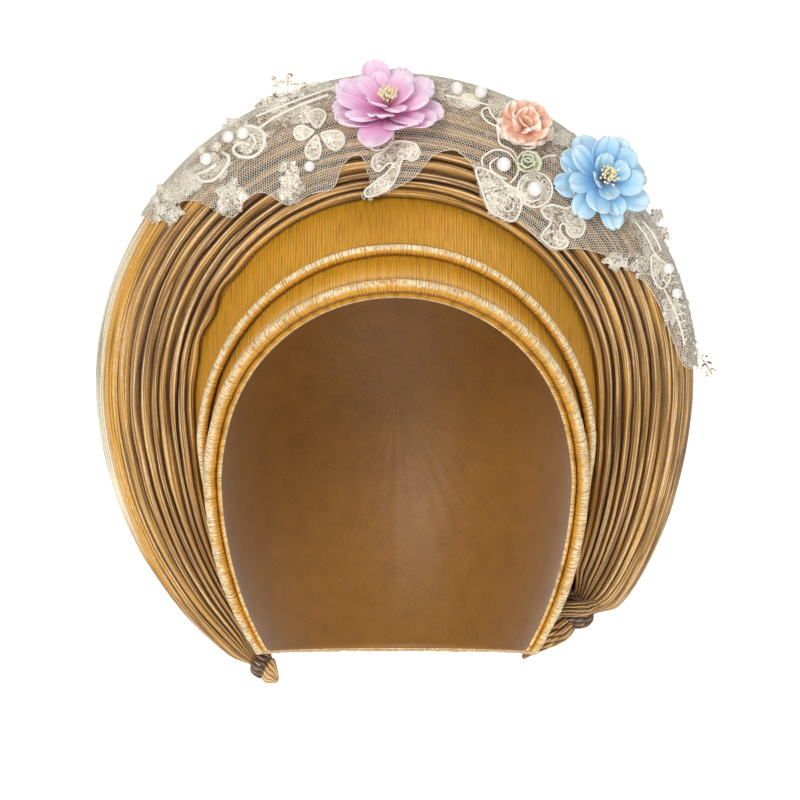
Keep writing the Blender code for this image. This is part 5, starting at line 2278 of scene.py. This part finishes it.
BLOOMS = (
    Bloom("pink_flower", Slot.PINK, -4.0, 30.5, 50.0, 0.0, (
        Tier(10, 26.0, 14.0, 2.0, 10.0, 0.16, 1.1, 2.4, 5.0),
        Tier(9, 22.8, 12.5, 17.0, 4.0, 0.2, 1.1, 4.0, 28.0),
        Tier(6, 16.5, 10.5, 36.0, 0.0, 0.24, 0.9, 5.2, 50.0)), 3, 40, 7.4),
    Bloom("blue_flower", Slot.BLUE, 87.5, 2.5, 14.0, 24.0, (
        Tier(8, 22.8, 12.4, 2.0, 12.0, 0.16, 1.0, 2.2, 12.0),
        Tier(7, 18.5, 11.5, 18.0, 6.0, 0.22, 1.0, 3.6, 36.0),
        Tier(4, 12.5, 9.0, 38.0, -4.0, 0.28, 0.8, 4.8, 20.0)), 5, 30, 7.0),
    Bloom("peach_flower", Slot.PEACH, 55.0, 25.5, 26.0, 12.0, (
        Tier(5, 13.0, 14.0, 4.0, 22.0, 0.02, 1.9, 1.8, 18.0),
        Tier(5, 11.4, 12.5, 24.0, 14.0, 0.02, 2.0, 2.6, 50.0),
        Tier(4, 9.4, 10.0, 46.0, 6.0, 0.04, 1.6, 3.2, 12.0),
        Tier(2, 6.0, 7.0, 72.0, 6.0, 0.3, 0.4, 3.6, 60.0)), 11, waves=2.6),
    Bloom("green_bud", Slot.GREEN, 56.5, 10.5, 8.0, 6.0, (
        Tier(4, 6.0, 8.0, 30.0, 34.0, 0.45, 0.5, 1.0, 0.0),
        Tier(3, 5.4, 7.0, 60.0, 26.0, 0.6, 0.3, 1.4, 40.0),
        Tier(2, 4.2, 5.0, 80.0, 10.0, 0.8, 0.2, 1.8, 90.0)), 13, waves=1.4),
)


@dataclass(frozen=True)
class PearlRow:
    """One pearl as seen from the front."""

    name: str
    x: float
    z: float
    radius: float


PEARLS = (
    PearlRow("pearl_spiral_upper", 45.5, 9.0, 3.2),
    PearlRow("pearl_spiral_lower", 58.7, -1.3, 3.3),
    PearlRow("pearl_top_left", 25.7, 42.0, 2.8),
    PearlRow("pearl_top_right", 36.0, 40.5, 2.8),
    PearlRow("pearl_scroll_upper", -65.8, 22.8, 2.7),
    PearlRow("pearl_scroll_side", -72.2, 21.4, 2.7),
    PearlRow("pearl_scroll_lower", -81.6, 11.9, 2.8),
    PearlRow("pearl_small", -37.2, 8.4, 2.3),
    PearlRow("pearl_edge_upper", 117.7, -34.8, 2.4),
    PearlRow("pearl_edge_lower", 121.5, -45.5, 2.3),
)


def build_pearls(field: LaceField, scatter: Scatter, material: Material) -> None:
    """Round pearls seated on the lace.

    Args:
        field: Where the lace lies.
        scatter: What places shapes that repeat.
        material: Their finish.
    """
    x, z, radius = np.array([(row.x, row.z, row.radius) for row in PEARLS]).T
    places, _ = field.seat(x, z, radius + 0.3)
    shape = lathe([(math.sin(a), -math.cos(a), 1.0) for a in np.linspace(0.0, math.pi, 13)], 20)
    sizes = np.repeat(radius[:, None], 3, 1)
    mesh = scatter.mesh(shape, places, np.zeros((len(x), 3)), sizes, material)
    Piece("pearls", Slot.PEARL, [row.name for row in PEARLS]).from_mesh(mesh, material)


# Studio


@dataclass(frozen=True)
class LightRow:
    """One soft area light."""

    name: str
    place: tuple
    aim: tuple
    size: float
    power: float
    colour: tuple = (1.0, 1.0, 1.0)


@dataclass(frozen=True)
class Studio:
    """Pale floor and backdrop, soft lights and the camera."""

    centre: tuple = (0.0015, 0.0, -0.0924)
    distance: float = 4.0
    frame_width: float = 0.352
    floor_z: float = -0.36
    reach: float = 7.0
    bend: float = 2.4
    lights: tuple = (
        LightRow("key", (-0.7, -2.3, 0.62), (0.0, 0.0, -0.08), 0.9, 27.0, (1.0, 0.98, 0.95)),
        LightRow("fill", (1.3, -1.5, 0.35), (0.0, 0.0, -0.1), 1.2, 4.5, (0.96, 0.98, 1.0)),
        LightRow("top", (0.1, -0.1, 1.5), (0.0, 0.0, -0.05), 1.0, 9.0),
        LightRow("low", (0.0, -1.6, -0.25), (0.0, 0.0, -0.15), 0.9, 1.6))

    def build(self) -> None:
        """Make everything that isn't the hat."""
        self.backdrop(PlainFinish("backdrop", (0.96, 0.96, 0.96)).build())
        for row in self.lights:
            self.light(row)
        self.world()
        self.camera()
        view = bpy.context.scene.view_settings
        view.view_transform = "Standard"
        view.look = "None"

    def backdrop(self, material: Material) -> None:
        """Floor that curves up into a wall behind the hat."""
        turns = [0.5 * math.pi * k / 12 for k in range(13)]
        line = [(-self.reach, self.floor_z),
                *((self.reach - self.bend * (1.0 - math.sin(w)),
                   self.floor_z + self.bend * (1.0 - math.cos(w))) for w in turns),
                (self.reach, self.reach)]
        points = [(x, y, z) for x in (-self.reach, self.reach) for y, z in line]
        count = len(line)
        mesh = bpy.data.meshes.new("backdrop")
        mesh.from_pydata(points, [], [(i, i + count, i + count + 1, i + 1)
                                      for i in range(count - 1)])
        mesh.materials.append(material)
        mesh.shade_smooth()
        shown("backdrop", mesh)

    @staticmethod
    def aimed(data: bpy.types.ID, place: tuple, way: Vector, top: str) -> bpy.types.Object:
        """Put a light or a camera at a place and turn it one way.

        Args:
            data: The light or camera.
            place: Where it stands.
            way: Where it looks.
            top: Its own axis that points up.

        Returns:
            The object.
        """
        item = shown(data.name, data)
        item.location = place
        item.rotation_mode = "QUATERNION"
        item.rotation_quaternion = way.to_track_quat("-Z", top)
        return item

    def light(self, row: LightRow) -> None:
        """Add one area light that faces its aim."""
        data = bpy.data.lights.new(row.name, "AREA")
        data.shape = "DISK"
        data.size = row.size
        data.energy = row.power
        data.color = row.colour
        self.aimed(data, row.place, Vector(row.aim) - Vector(row.place), "Y")

    def world(self) -> None:
        """Even white surroundings."""
        world = bpy.data.worlds.new("studio")
        world.use_nodes = True
        shade = world.node_tree.nodes["Background"]
        shade.inputs["Color"].default_value = (1.0, 1.0, 1.0, 1.0)
        shade.inputs["Strength"].default_value = 0.26
        bpy.context.scene.world = world

    def camera(self) -> None:
        """Far camera, level with the hat's middle."""
        data = bpy.data.cameras.new("camera")
        data.sensor_width = 36.0
        data.lens = 36.0 * self.distance / self.frame_width
        data.clip_start, data.clip_end = 0.1, 40.0
        place = (self.centre[0], -self.distance, self.centre[2])
        bpy.context.scene.camera = self.aimed(data, place, Vector((0.0, 1.0, 0.0)), "Z")


FINISHES = (
    # Gold satin: valley colour for painted shade, crest colour for painted highlight
    SatinFinish("gold_satin", (0.2, 0.05, 0.004), (0.7, 0.33, 0.022), (1.0, 0.88, 0.6)),
    # Lining darkened as painted shade inside the hollow cap
    ThreadFinish("lining_satin", (0.25, 0.105, 0.014), (0.34, 0.15, 0.02), 1100.0, 0.5),
    # Lurex: valley colour for painted shade, crest colour for painted highlight; gold and pale
    # serve paler cloth and painted highlight, the thread colour painted glints
    LurexFinish("bronze_lurex", (0.075, 0.022, 0.003), (0.42, 0.21, 0.054), (0.84, 0.56, 0.25),
                (0.32, 0.16, 0.07), (0.76, 0.39, 0.065), (0.95, 0.86, 0.62), (0.95, 0.86, 0.7)),
    LurexFinish("dark_lurex", (0.02, 0.007, 0.003), (0.12, 0.055, 0.025), (0.32, 0.18, 0.09),
                (0.07, 0.034, 0.03), (0.4, 0.24, 0.12), (0.5, 0.42, 0.4), (0.85, 0.78, 0.72),
                0.9, 0.32),
    ThreadFinish("lace_net", (0.84, 0.75, 0.6), (0.99, 0.95, 0.85)),
    ThreadFinish("lace_embroidery", (0.16, 0.1, 0.055), (0.98, 0.92, 0.8), 1000.0,
                 span=(0.4, 0.56)),
    ThreadFinish("lace_thread", (0.66, 0.58, 0.45), (0.97, 0.92, 0.8)),
    ThreadFinish("lace_cord", (0.82, 0.75, 0.62), (0.97, 0.93, 0.84)),
    PetalFinish("pink_petal", (0.78, 0.16, 0.48), (0.9, 0.5, 0.76), (0.95, 0.78, 0.88)),
    PetalFinish("blue_petal", (0.06, 0.22, 0.58), (0.33, 0.63, 0.88), (0.66, 0.85, 0.95)),
    PetalFinish("peach_petal", (0.9, 0.32, 0.18), (0.95, 0.56, 0.4), (0.97, 0.89, 0.78),
                (0.0, 0.4), (0.72, 1.0)),
    PetalFinish("green_petal", (0.3, 0.32, 0.16), (0.6, 0.62, 0.42), (0.84, 0.84, 0.66)),
    ThreadFinish("stamen_yellow", (0.86, 0.68, 0.34), (0.98, 0.92, 0.68)),
    PearlFinish("pearl", (0.88, 0.86, 0.83)),
)


class TurbanHat:
    """The whole hat."""

    def build(self) -> None:
        """Make every piece."""
        finishes = {finish.name: finish.build() for finish in FINISHES}
        gold, bronze = finishes["gold_satin"], finishes["bronze_lurex"]
        CrownCap().build(gold, finishes["lining_satin"])
        for layer in (RimRoll(), InnerBand(), OuterBand()):
            layer.build(gold)
        for layer in (PleatFan(), OuterDrape()):
            layer.build(bronze)
        for end in ENDS:
            end.build(finishes[end.slot.value])
        scatter = Scatter()
        lace = Lace(scatter, finishes)
        lace.build()
        for bloom in BLOOMS:
            bloom.build(lace.field, scatter, finishes)
        build_pearls(lace.field, scatter, finishes["pearl"])


def main() -> None:
    """Build the hat and its studio."""
    logging.basicConfig(level=logging.INFO)
    TurbanHat().build()
    Studio().build()


if __name__ == "__main__":
    main()
